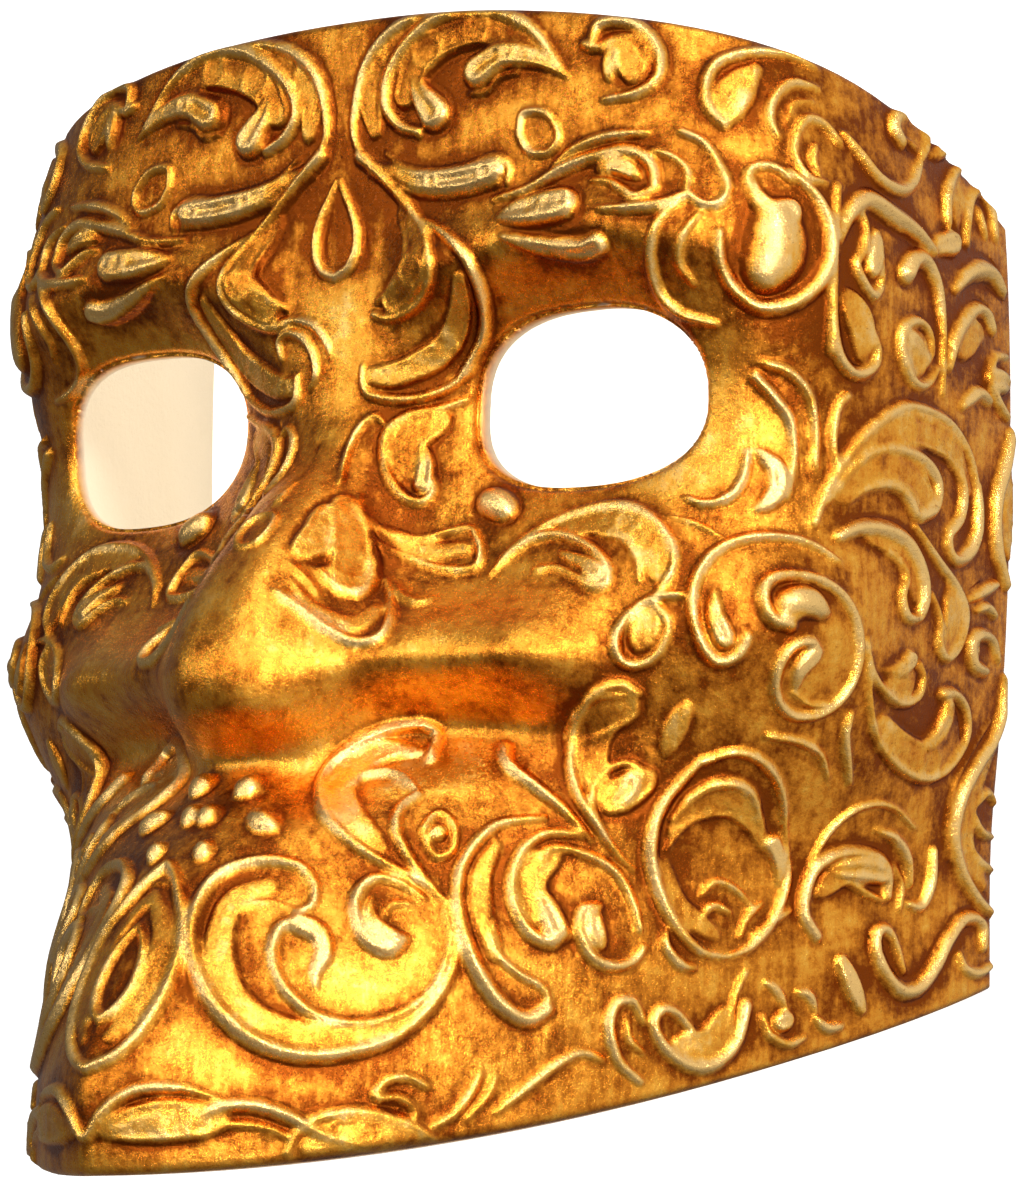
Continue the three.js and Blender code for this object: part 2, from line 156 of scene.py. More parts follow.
def skin_grid(columns, rows, inside=False):
    """Angles and heights of a skin: columns spread from rim to rim, closer at the nose, and
    rows spread from the bottom edge to the top one."""
    t = np.linspace(-1, 1, columns + 1)
    angle = math.pi / 2 * (0.75 * t + 0.25 * t ** 3)
    bottom, top = edge_heights(angle)
    v = np.linspace(0, 1, rows + 1)[:, None]
    return np.broadcast_to(angle, (rows + 1, columns + 1)), bottom * (1 - v) + top * v


def outward(points):
    """Unit normals of a grid of points, from the cross product of its two directions."""
    across = np.gradient(points, axis=1)
    up = np.gradient(points, axis=0)
    normal = np.cross(across, up)
    return normal / np.linalg.norm(normal, axis=-1, keepdims=True)


angles, heights = skin_grid(COLUMNS, ROWS)
bare_face = surface(angles, heights)
face_normal = outward(bare_face)

# The scrollwork is piped and modelled onto the shell before gilding: tapered cords that curl
# into scrolls, broad veined leaves, dished drops and smooth buds. Both sides carry the same
# strokes, a little off true on the wearer's right side, which has two cords of its own.

# A stroke is three half widths, at its start, middle and end, and then the places it passes
# through: how far round the face from the back rim, and the height. The cords of the middle
# give the distance from the centre line instead.
CORDS = {
    "forehead": [
        [[0.8, 1.9, 1], (92.5, 83), (96, 90.5), (103, 94.4), (111, 94.4), (118, 91.4), (124, 86.5),
         (127, 81), (125.6, 77), (122, 75.2)],
        [[0.8, 1.5, 0.8], (109, 95.6), (116, 95), (123, 92.5), (129, 87.6), (132.8, 81.5), (134.8, 76.3),
         (134.3, 72.8)],
        [[1.6, 1.1, 0.8], (134.5, 72.5), (130.5, 68), (126.5, 62), (123.8, 56.5), (122.6, 51.3),
         (124.3, 47), (129, 44.6), (133.5, 45.5)],
        [[0.8, 1.3, 0.9], (125.5, 60.8), (120, 57), (116, 52.7), (113.8, 47), (113.5, 41), (115.8, 35)],
        [[0.5, 0.9, 0.5], (127.8, 51.9), (131.2, 49.4), (133.8, 47.6)],
        [[0.5, 0.8, 0.8], (129.5, 72.5), (126, 69.6), (120, 68.4), (114, 68.6), (108.5, 69.6), (106, 67.5),
         (107, 65)],
        [[0.6, 1, 0.5], (133.5, 69.3), (128, 66.2), (121, 64.4), (115, 64.2), (108.5, 64.8)],
        [[0.5, 0.6, 0.5], (100, 83.3), (104, 82.6), (107, 80.6), (110.5, 80.6)],
        [[0.8, 0.8, 0.8], (103, 72.8), (101.3, 76.2), (97.2, 75.8), (95.7, 72), (98.3, 69.2), (102, 69.9),
         (103, 72.8)],
    ],
    "top_edge": [
        [[1, 1.4, 0.7], (86, 86.7), (84.2, 89.8), (80, 90.3), (76.8, 88.3), (75.3, 84.5), (76.6, 80.3),
         (80.5, 77.8), (86.5, 77)],
        [[1, 1, 0.5], (87.3, 86.8), (85.5, 85.9), (82, 86.8), (79.3, 85.2), (78.8, 81.5), (81.5, 79.6)],
        [[0.6, 1.2, 1.1], (49.5, 82.5), (54.5, 84.4), (61, 84.4), (66.6, 82.4), (69.4, 78.3), (69.6, 74.8),
         (67.8, 71.8)],
        [[0.9, 1, 0.9], (60.5, 82), (62, 77.6), (64.5, 74.2), (67.5, 71.8)],
        [[0.5, 0.7, 0.5], (64.2, 80.6), (65.7, 78.7), (67, 76.5)],
        [[0.6, 1.2, 0.7], (50, 79), (54.7, 79.6), (58.6, 76.6), (60, 73), (59.3, 70)],
        [[0.4, 0.7, 0.4], (51.5, 76.7), (55, 76), (57.4, 72.5)],
        [[0.8, 1, 0.7], (47.5, 70), (50.5, 73.2), (53.3, 73.6), (55.7, 71), (57, 67), (55, 63.6),
         (51.5, 63)],
        [[0.7, 0.9, 0.6], (52.8, 69.2), (53.7, 66.5), (53, 64.3)],
        [[0.8, 1.6, 1.3], (27.6, 69.8), (25.2, 73), (26.4, 76.4), (29.3, 77.4), (32.7, 76.7), (33.8, 74.5),
         (32.2, 72.4)],
        [[0.9, 1.4, 1], (10.5, 69.4), (14, 71), (17.6, 69.3), (20, 65), (20.2, 60.5)],
        [[0.8, 1.3, 0.9], (4.8, 60.5), (6, 65.5), (9.6, 67.8), (12.6, 65.6), (14, 61.5), (14.6, 58)],
        [[0.5, 0.9, 0.5], (8, 60), (9.3, 62.5), (9.8, 65)],
        [[0.9, 1.4, 0.7], (27.5, 69.5), (30, 66), (34, 64.2), (39.5, 65.3), (43.5, 69), (46.5, 72)],
    ],
    "brow": [
        [[0.6, 1.2, 0.5], (80, 71), (86.5, 70.9), (90.5, 70.2), (94, 69), (98, 66.8)],
        [[1.2, 1.4, 0.6], (80.6, 62), (80.8, 65.6), (84, 68.1), (90, 67.6), (96, 66.2), (103, 63.4),
         (110.5, 62.2)],
        [[1, 1, 0.6], (81, 61.3), (84.2, 60.2), (86.3, 61.7), (88.7, 63.3), (91.5, 63.6)],
        [[0.7, 1, 0.8], (80, 68), (76.7, 66.5), (75, 64), (75.6, 61), (73.4, 58.5), (70.5, 58.8),
         (69, 61.5), (69.8, 65), (71.6, 69), (75, 71)],
        [[1.2, 1.3, 0.6], (76, 60), (80, 58.6), (86, 58.4), (91, 58.7)],
        [[0.8, 1.6, 0.9], (58.5, 64.5), (54, 60.5), (51.8, 56), (51.6, 51), (54, 46.3), (58.5, 43),
         (63.5, 42.3), (68, 45.2), (70.7, 49.6), (71, 54)],
        [[0.8, 0.9, 0.7], (58.5, 63), (61, 65), (64.3, 64.8), (66, 62.7), (65.3, 60)],
        [[0.8, 1.2, 0.7], (77.3, 58.5), (81, 55.5), (82.4, 50.7), (80.6, 45.3), (76.3, 41.7), (70, 39.8)],
        [[0.6, 0.9, 0.6], (74, 57), (76.8, 53.5), (77.4, 49.6), (74.5, 46)],
        [[0.8, 1.1, 1], (49.3, 63), (50.5, 57), (51, 50), (50.8, 43), (50.4, 36)],
        [[0.7, 1, 0.7], (113.8, 36.3), (118, 32.8), (124, 31.2), (131, 32.6), (133.2, 37)],
        [[0.4, 0.6, 0.4], (119, 36.8), (124, 35), (130, 34.6)],
        [[0.4, 0.6, 0.4], (121, 38.9), (125, 37.6), (129.5, 37)],
    ],
    "temple": [
        [[0.7, 1.3, 2.1], (22.6, 32), (22.8, 38), (23.2, 44), (24.5, 49.5), (27.7, 53.2), (31, 53),
         (33.2, 50.6)],
        [[0.7, 1.2, 0.8], (24.2, 36), (26.8, 33.3), (30, 32.7), (33, 35), (34.6, 39), (33.3, 42), (30, 43),
         (27.2, 41.6), (26.2, 38.5), (27.7, 36.2)],
        [[0.7, 1.1, 0.7], (40, 52), (40, 48), (41.6, 45.8), (44, 47.2), (46.2, 50.4), (44.4, 53),
         (43.8, 57), (45.6, 60.6)],
        [[1.1, 2.1, 0.9], (25, 55), (30.5, 57.8), (37, 59.7), (43, 61.3), (47.3, 58.5), (49.8, 54)],
        [[0.6, 1.3, 1], (45.3, 43.3), (41, 38.6), (40.4, 35.2), (43.3, 33), (46.4, 33.4), (49, 36.3),
         (50.5, 41), (50.9, 46)],
        [[1.1, 2, 0.7], (3.5, 51.5), (7, 54), (11, 54.2), (15, 52.7), (18.8, 49.6)],
        [[1, 1.6, 1], (7, 44.5), (9, 47), (12.3, 47.4), (16, 45.2), (19.2, 41.5), (21, 36.5)],
        [[1, 1.5, 0.8], (8.5, 32.4), (12, 33.4), (17, 30.6)],
        [[0.8, 1.2, 0.7], (2.5, 30.5), (6, 33), (8.8, 36.5), (6.5, 40), (2.6, 40.7)],
        [[0.8, 1, 0.6], (20, 58.5), (24, 57.2), (26, 54)],
    ],
    "eye_side": [
        [[0.9, 1.2, 0.8], (12.3, 17.5), (14.8, 22.5), (20, 26.8), (26, 28.5), (33, 28.7), (38.5, 26),
         (44, 21.5), (49, 15), (52.5, 8)],
        [[1.3, 1.4, 0.7], (28.6, 11.2), (24.9, 13), (24.3, 17), (27.6, 20.2), (34, 21.5), (40, 20.8),
         (45, 17.4), (50, 11.5)],
        [[1.2, 1, 0.5], (30, 11.4), (32.3, 14), (36.3, 15.5), (42, 14.4), (46, 11.7)],
        [[0.6, 1.3, 0.8], (18, 21), (16.4, 16.5), (17.5, 12), (20.5, 9), (20, 6.8)],
        [[1, 1.6, 0.8], (12.2, 18), (11.8, 14), (12.3, 10), (14.5, 6.6), (18.5, 5.2), (21.3, 7.5)],
        [[1.2, 1.8, 1.1], (1, 28), (3.4, 22), (6, 17), (6.6, 12), (5, 7), (2, 2.6)],
        [[0.5, 0.9, 0.5], (1, 20), (3, 17.4), (3.6, 13.5), (2.5, 10.5)],
        [[0.8, 1, 0.7], (46, 29.3), (48, 27), (48.6, 22), (47.8, 17.5)],
        [[0.9, 1, 0.6], (61.5, 33.7), (57, 32.3), (53.5, 29), (52, 24), (51.7, 17)],
        [[1.2, 1, 0.6], (62.4, 31.5), (59, 28), (56.2, 24.3), (55.6, 18), (56.7, 12)],
        [[0.8, 1.1, 0.6], (63, 19.5), (63.7, 15.5), (66, 12.2), (70, 10.8), (73.5, 12)],
    ],
    "cheek": [
        [[1, 2, 1.6], (48, 6.2), (43.5, 8), (38, 8.1), (33, 6.6), (29.5, 3), (28, -1), (28.6, -4)],
        [[1, 1.1, 0.5], (27, -2.5), (29, -5.3), (32.5, -5.4), (34, -2.5), (32.9, 0.8), (34.6, 3.2),
         (38, 4.7)],
        [[0.7, 1.2, 0.7], (30, 9.5), (24, 4.7), (18, 0.6), (15, -3.5), (16.5, -8.5), (20, -11.1),
         (22.6, -9), (22.8, -5), (25.5, -1)],
        [[1.5, 1, 1.2], (59.5, -8.8), (62.8, -7.9), (64, -4.6), (62, -1.5), (56.5, -0.8), (50.5, -2.5),
         (46, -7), (44, -13), (45.2, -18.5), (49, -22), (54, -22.8), (58, -20.6), (59.9, -16.5),
         (58.7, -12.5), (55.5, -11.2), (53.4, -12.7)],
        [[0.4, 0.6, 0.4], (47.2, -20.6), (52, -20.9), (56, -19.2)],
        [[0.6, 1.2, 1.2], (48.5, 2), (54, 4.8), (60, 5.6), (66, 4.7), (71, 2), (74.6, -2.5), (75.4, -7),
         (73.7, -11.5), (70.3, -14.8), (67.2, -13.8), (66.4, -11)],
        [[0.6, 1.1, 1.3], (42.5, -10), (41.5, -14), (39.5, -19.5), (36.5, -24.5), (32, -28), (26.5, -30.2),
         (21.5, -30.7), (17, -29), (13.4, -25.5), (12.1, -22), (13.6, -18.5), (17, -16.7), (20.4, -17)],
        [[0.8, 1.1, 0.6], (28, -12.6), (26.5, -15), (27.6, -18), (31.6, -19.3), (36, -18), (40, -15.3),
         (42.6, -11)],
        [[0.7, 1.1, 0.7], (43, -21.5), (43, -25), (41, -29), (39, -32.5)],
        [[0.7, 1.4, 1.3], (3.5, -10), (6, -6.9), (10, -6.4), (12.8, -8.2), (11.5, -11.3), (8, -12.2)],
        [[1, 1.2, 0.4], (5.5, 2.4), (9, 1), (14, -1.1)],
        [[0.9, 1, 0.5], (5.5, -2.8), (8, -1.6), (11.5, -2.6)],
        [[0.9, 1.2, 0.5], (80.5, -3.4), (77.5, 0), (76.6, 4), (78.6, 8), (82.6, 10.8), (88, 11.1),
         (95, 9.4), (101, 6.6), (106.5, 3)],
        [[0.6, 0.9, 0.4], (83.5, -2), (82.8, 2), (84.5, 5.3), (88.5, 6)],
        [[0.5, 1.1, 0.6], (108.5, 0.3), (104, 4), (99, 6.5), (94.5, 6.5), (90, 4), (88.1, 0.5), (89, -2.2),
         (91.5, -2.6), (94, -0.5), (97, 1), (100.5, 0.8)],
        [[0.8, 1.1, 0.8], (77.3, -4.2), (81.5, -4.6), (85.5, -7), (87.5, -11), (85.8, -14.5), (82.3, -15.2),
         (79.7, -12.6), (79.4, -8.5), (81.8, -5.2)],
        [[0.4, 0.6, 0.3], (68.3, 5.2), (72, 7.4), (77, 9.2)],
    ],
    "nose_side": [
        [[0.6, 1.2, 0.9], (113.5, 31.2), (118, 29.6), (123, 28.6), (126.2, 26), (126.2, 22), (124.5, 17.6),
         (121.5, 14.2), (118.6, 13.5), (117, 15.6), (118, 19.3)],
        [[0.5, 0.9, 0.6], (126.8, 27), (129, 28.6), (131.3, 26.4), (132.3, 22), (132.5, 17)],
        [[0.9, 0.8, 0.4], (109.4, 5.3), (110.5, 8.4), (113.5, 8.4), (119, 7.2), (124.5, 8), (128, 11.4),
         (129.4, 15)],
        [[0.5, 0.7, 0.4], (111.5, 4.4), (117, 4.7), (123, 6.6), (127.5, 9.4)],
        [[0.9, 0.9, 0.4], (109.2, 5), (110.3, 2.2), (113.5, 1.4), (119, 2.6), (125, 5.6), (128.4, 8.6)],
        [[0.4, 1, 0.4], (118, -3.4), (120.5, -4.3), (123.4, -3), (124.6, -0.6)],
        [[0.6, 1.2, 0.6], (126, 0), (124.9, -4.5), (124.8, -8.2), (126.4, -10.8), (130, -11.2),
         (134.4, -9.4), (139, -6.4), (145, -2.6)],
        [[0.7, 1.3, 0.6], (137.5, 1.2), (134.6, -1.6), (131, -2.6), (128.4, -1), (127.4, 2.4), (127.6, 5.6),
         (129.6, 8.6)],
        [[0.5, 0.8, 0.4], (136.6, 1.8), (133.8, 0), (130.8, -0.4)],
        [[0.4, 0.8, 0.5], (142.4, 2.6), (140.2, 0), (137, -3.2)],
        [[0.4, 0.7, 0.4], (142.6, -0.6), (139, -4), (135, -6.6)],
        [[0.5, 0.9, 0.6], (131.9, 6.6), (131.6, 10), (133.4, 13.6)],
        [[0.5, 0.7, 0.5], (138.5, 25), (140, 19), (142.5, 13.5)],
    ],
    "jaw": [
        [[1.2, 1.3, 0.6], (110.6, -29.5), (111.6, -25.7), (115, -23.8), (120, -24.6), (124.4, -28),
         (126.7, -33), (125, -39), (121, -43.4), (115, -47.4), (109, -50.6), (105.3, -54.2)],
        [[0.6, 1.1, 0.5], (110.5, -35.6), (114, -32.6), (118, -32), (121, -33.4), (122.6, -35.2)],
        [[0.8, 1.2, 0.6], (110.4, -35.8), (113, -38.2), (113.5, -42), (111, -47), (107.5, -51.5)],
        [[0.9, 1.3, 0.4], (81, -19.7), (84.8, -18.2), (88.3, -20), (89.2, -24.5), (88, -30), (85, -36),
         (81, -41), (77.5, -45), (74.5, -47.6)],
        [[1.5, 1.2, 0.4], (99.5, -28), (97.4, -31), (92, -34.6), (87, -38.2), (82, -43)],
        [[0.8, 0.9, 0.7], (75.8, -34.4), (76, -31.8), (79.4, -30.6), (82.6, -32.8), (82.8, -37),
         (80.6, -41)],
        [[0.8, 0.9, 0.6], (74, -57), (75, -52.5), (77.6, -48), (82.5, -45.3), (88.3, -44.3), (90.8, -46.6),
         (91.3, -50)],
        [[0.8, 1.2, 1], (73.5, -59.8), (75.4, -62), (79, -62.9), (82.8, -61.3), (84.7, -57), (83.6, -54),
         (80.8, -53.6)],
        [[0.8, 1.2, 1.5], (84.5, -42), (90, -42.2), (94, -45.8), (95.4, -52), (93.4, -57.5), (90, -59.3),
         (87.2, -58)],
        [[0.6, 1.5, 1.5], (90, -39.6), (97, -40.6), (101, -44), (103.6, -49), (104.2, -55), (103.2, -61),
         (100.8, -66), (97.3, -69.9), (93.5, -71.6), (90.3, -70)],
        [[0.5, 0.8, 0.7], (100, -57.5), (98.5, -61.5), (95, -64.5), (91, -66.6), (89.9, -69.3)],
        [[0.7, 1, 1.3], (106.5, -54.5), (106.3, -60), (109, -66.5), (114, -70.8), (121, -72.7),
         (128, -71.5), (132.8, -67.3), (134.4, -62), (132.8, -57.9), (129.8, -56.6)],
        [[0.6, 1.7, 0.8], (104.9, -57), (105.6, -63), (109, -69), (115, -74.4), (123, -77.1), (131, -77.6),
         (138, -75.3), (143.4, -70.4), (146.3, -64), (146.5, -58), (144.3, -52.5), (140.4, -48.6),
         (134.5, -46.9), (129, -47.7), (126.5, -50.6), (127.2, -54), (130, -55.4)],
        [[0.4, 0.6, 0.3], (130, -55), (134, -53.6), (138, -54.6), (141, -57.6)],
        [[0.6, 1.3, 1.3], (109.5, -53), (113, -50.4), (117, -49.7), (120.1, -52.5), (120.7, -56.5),
         (119.3, -59.8), (116, -61.2), (113.7, -59.4)],
        [[0.5, 0.7, 0.4], (111.5, -53.8), (115, -54), (117, -57)],
        [[0.8, 0.8, 0.8], (109.5, -41.8), (107, -39), (104.4, -41.2), (104.6, -45), (107.4, -46),
         (109.5, -41.8)],
    ],
    "medallion": [
        [[0.9, 1.5, 0.6], (67.2, -30), (71, -36.5), (72, -43), (70.5, -50), (67.8, -55.8), (63.5, -60),
         (58.5, -60.9)],
        [[0.7, 1, 0.6], (47.6, -43), (46.8, -48.5), (49.5, -54.8), (54, -59.2), (58.5, -60.9)],
        [[0.6, 1, 0.9], (47.8, -42), (51, -35), (56.3, -30.2), (62, -28.6), (67, -30.2)],
        [[0.7, 1.2, 0.7], (52.8, -40), (57, -34.6), (62.5, -33.4), (66.5, -35.5), (69, -39.5)],
        [[0.5, 0.7, 0.4], (55, -40.5), (59, -38.3), (63.5, -38.6), (67, -40.8), (69.3, -44.5)],
        [[0.5, 0.8, 0.5], (53.5, -52.5), (56.5, -50), (60, -48.9), (62.6, -51)],
        [[0.5, 0.8, 0.5], (46, -53), (50, -55.3), (53.5, -57.6)],
        [[0.5, 0.7, 0.5], (51.5, -52), (54.5, -54.6), (56, -57.6)],
        [[0.6, 0.9, 0.5], (57.5, -53.8), (60.5, -52.7), (63, -54.6)],
        [[0.6, 1.1, 0.7], (69.4, -57), (69.5, -59.5), (67, -62.3), (64.4, -62.8)],
        [[0.5, 0.9, 0.6], (43.6, -32), (47, -28.3), (52, -26.5), (58, -26)],
    ],
    "jaw_back": [
        [[1.2, 1.7, 1], (1, -13), (1.4, -18.5), (4, -23.5), (8.3, -28), (11.5, -33), (12.4, -39),
         (9.5, -45), (4.8, -49.5), (1, -51.5)],
        [[0.5, 0.6, 0.4], (5, -20), (9.5, -25), (13.2, -30.5), (14.4, -37), (12.8, -43.5)],
        [[0.6, 1, 0.6], (1, -33.5), (4, -31.8), (6.8, -34)],
        [[0.6, 1.1, 0.6], (1.2, -39), (5, -38.2), (8.2, -34.8)],
        [[0.7, 1, 0.5], (1, -44.5), (4.5, -43.3), (8, -40.6)],
        [[1, 1.2, 0.7], (16.8, -42), (16.6, -47), (18.6, -51.2), (21.8, -51)],
        [[0.9, 1.2, 0.4], (21.6, -47.7), (22.7, -43.6), (26, -40.6), (30.8, -39.4)],
        [[0.5, 0.8, 0.6], (22, -38.7), (27, -36.1), (32, -35.3), (37, -37), (40.5, -41), (42.5, -46),
         (42.3, -51)],
        [[1, 1.4, 1.2], (26.3, -50), (26.6, -46), (29.6, -43.7), (36, -43.3), (41, -45.5), (43, -49.3),
         (43.4, -53.5), (41, -57)],
        [[0.6, 0.8, 0.5], (27.5, -50.8), (31, -49.6), (35, -48.2), (38.5, -48.8)],
        [[0.5, 0.8, 0.5], (23.6, -52.3), (23.4, -48.3), (25.4, -44.8)],
    ],
    "bottom_edge": [
        [[1, 1.6, 0.8], (3.3, -57.3), (3.3, -54), (5.7, -52.6), (9, -53.2), (12.5, -56.6), (15.6, -61),
         (19, -64.4), (22.6, -65.2), (26.2, -63), (28.7, -59), (28.4, -55.9), (26.4, -55.4), (24.5, -58),
         (22.8, -62)],
        [[0.7, 1, 0.8], (9.6, -58.6), (8, -61), (4.5, -61.6), (1.2, -60.2)],
        [[0.6, 1, 0.6], (41, -69), (42.2, -66.6), (44.8, -66)],
        [[0.6, 0.9, 0.5], (46.8, -69), (48.4, -66.2), (51, -64.6)],
        [[0.7, 1, 0.6], (43, -73.3), (46, -74.4), (49.8, -73), (51.2, -70)],
        [[0.8, 1.1, 0.6], (35.6, -71.3), (38.5, -71.6), (41, -70)],
        [[1.3, 1.3, 0.7], (54.5, -68.5), (56.2, -74.5), (60.3, -78), (65, -78.2), (69.3, -75.6),
         (71.4, -72), (70.3, -69.6), (67.8, -69.8), (65, -72.2), (62.7, -75)],
        [[0.5, 0.7, 0.5], (54.6, -63), (56.6, -66.6), (57.6, -71), (59.2, -75)],
        [[0.8, 1.2, 0.8], (73.4, -71.5), (75.4, -68.3), (78.4, -69), (79.4, -73), (77.4, -78),
         (73.6, -81)],
        [[0.5, 0.8, 0.5], (73.2, -76.5), (75.8, -74.5), (76.2, -71.5)],
        [[0.6, 1, 0.5], (80.5, -77.8), (84, -76.6), (88, -78.3), (94, -82.6), (99, -86.3)],
        [[0.7, 1, 0.6], (101.4, -80), (103.2, -83.4), (106, -86.6), (109.5, -88.6)],
        [[0.5, 0.7, 0.5], (98.8, -80.6), (100.4, -83.8), (104, -87.4)],
        [[0.7, 1, 0.7], (110.2, -82.4), (113.5, -80.9), (117, -81.6), (118.8, -84.2), (114.6, -84.2),
         (112.2, -86.4), (113.4, -89.2)],
        [[0.5, 1.4, 0.9], (113.5, -91), (120, -91.6), (127, -90), (133, -86.9), (139, -85.4),
         (144.5, -86.2), (148.4, -89)],
        [[0.5, 1.3, 0.9], (143.2, -84.6), (149, -83), (156, -83.2), (161, -86.4), (163.8, -90.5)],
        [[0.5, 0.7, 0.5], (131.5, -91), (136, -89), (142, -88.6), (146, -90.6)],
        [[0.5, 0.9, 0.6], (151, -89.5), (155, -87.4), (159, -89.8)],
        [[0.7, 1.3, 0.8], (133, -93), (129.6, -88.2), (121.3, -86.4), (112.6, -88.6), (107.5, -92.4)],
    ],
    "chin": [
        [[0.9, 1.5, 1], (156, -44.5), (151, -46.3), (148.2, -51), (148.2, -60), (152, -69.5), (158, -77),
         (164, -80)],
        [[0.6, 1.2, 0.8], (155.6, -55.5), (154.6, -61), (156.3, -67), (160, -71.3), (164.5, -73.2)],
        [[0.5, 1, 0.6], (150.6, -50.5), (155, -47.9), (160, -49.3), (163.5, -53)],
        [[0.5, 0.8, 0.5], (153, -54), (157, -51.6), (161, -54)],
    ],
}
DROPS = {
    "forehead": [
        [[0.3, 1.8, 2.9], (119.7, 86.3), (119.8, 82.5), (118, 78)],
        [[0.4, 2, 2.9], (91.5, 81.5), (96, 85), (102, 86.3), (107.5, 84.2)],
        [[0.5, 2.2, 2.2], (131, 70.6), (124, 67.2), (116, 66.4), (109.2, 67.2)],
    ],
    "top_edge": [
        [[0.9, 1.5, 0.7], (82, 86), (83.6, 83.6), (84.6, 80.6)],
        [[1, 1.8, 0.6], (16, 73.6), (19.5, 73.8), (23.5, 71.3)],
        [[0.8, 1.6, 1], (62.5, 79), (64.4, 76.5), (67, 74)],
        [[0.7, 1.8, 2.2], (24.6, 55.6), (22, 56.8), (19.6, 57.4)],
    ],
    "brow": [
        [[0.4, 2.6, 2.8], (110, 59), (103, 59.6), (97, 60.1)],
        [[0.4, 1.8, 1.9], (109.5, 55.8), (102, 53.6), (95, 52.5), (92, 53.1)],
        [[0.5, 1.7, 2.5], (65, 63.3), (64.6, 60), (62.3, 57.3), (59.6, 57.4)],
        [[0.4, 1.6, 1], (90.5, 65.4), (86.5, 65.8), (83.4, 64)],
    ],
    "temple": [
        [[0.9, 1.7, 1.5], (41.2, 56), (41.6, 53), (42.3, 50)],
        [[1.4, 2.2, 1.2], (3.5, 36), (6, 36.2), (8.3, 36)],
        [[0.5, 1.4, 1.6], (28.5, 37), (30.5, 39), (32, 39.8)],
    ],
    "eye_side": [
        [[0.4, 1.8, 0.8], (61.5, 19.8), (58.5, 16.5), (58.9, 12.7), (61.8, 10)],
    ],
    "cheek": [
        [[0.3, 1.3, 1.7], (53, -5.5), (57, -6.2), (60, -6.9)],
        [[1.5, 1.3, 0.4], (54.2, -13.4), (55.8, -15.7), (55.6, -18.6)],
        [[0.5, 1.5, 1.8], (71.7, -3.5), (71.9, -7.5), (70, -11.3)],
        [[1.5, 1.5, 0.4], (18.5, -18.9), (19.2, -21.6), (22, -24.7), (26.6, -26)],
        [[1.5, 1.2, 0.3], (30.7, -12.2), (33, -13.8), (37.3, -14.5)],
        [[1.8, 1.3, 0.6], (90.3, -0.4), (92, 1.6), (95.5, 3.5)],
        [[1.2, 1.6, 1.4], (11.5, -8.2), (12.2, -8.6), (12, -9.6)],
    ],
    "nose_side": [
        [[0.5, 1.4, 1.9], (120.5, 24.6), (118.9, 20.3), (118.7, 16.6)],
    ],
    "jaw": [
        [[0.3, 1.5, 1.9], (79.5, -38), (77.6, -35.3), (77.3, -33.6)],
        [[0.8, 1.8, 2.3], (91, -50.5), (89.6, -54), (88.7, -57)],
        [[1.8, 1.5, 0.4], (129.6, -57.2), (126.9, -58.6), (126.3, -61.6), (128, -65), (128, -67.6)],
        [[0.5, 1.4, 2], (118, -53), (118.3, -57), (116, -59.2)],
        [[1, 1.8, 1.6], (81, -59.6), (82, -57.2), (82, -55.6)],
        [[1.2, 1.3, 1.1], (106.6, -42), (107, -42.3), (107.3, -42.6)],
    ],
    "medallion": [
        [[1.6, 1.2, 0.4], (50.3, -42.6), (48.7, -45.3), (48.4, -49)],
    ],
    "bottom_edge": [
        [[1, 1.8, 1.2], (31.5, -68.4), (33.6, -65), (36, -60.8)],
        [[1.4, 1.7, 1.2], (46.6, -70.5), (47.4, -70.9), (48.2, -71)],
    ],
    "jaw_back": [
        [[1.6, 2.2, 0.8], (27.8, -46.5), (32, -45.8), (38.5, -46.2)],
    ],
}
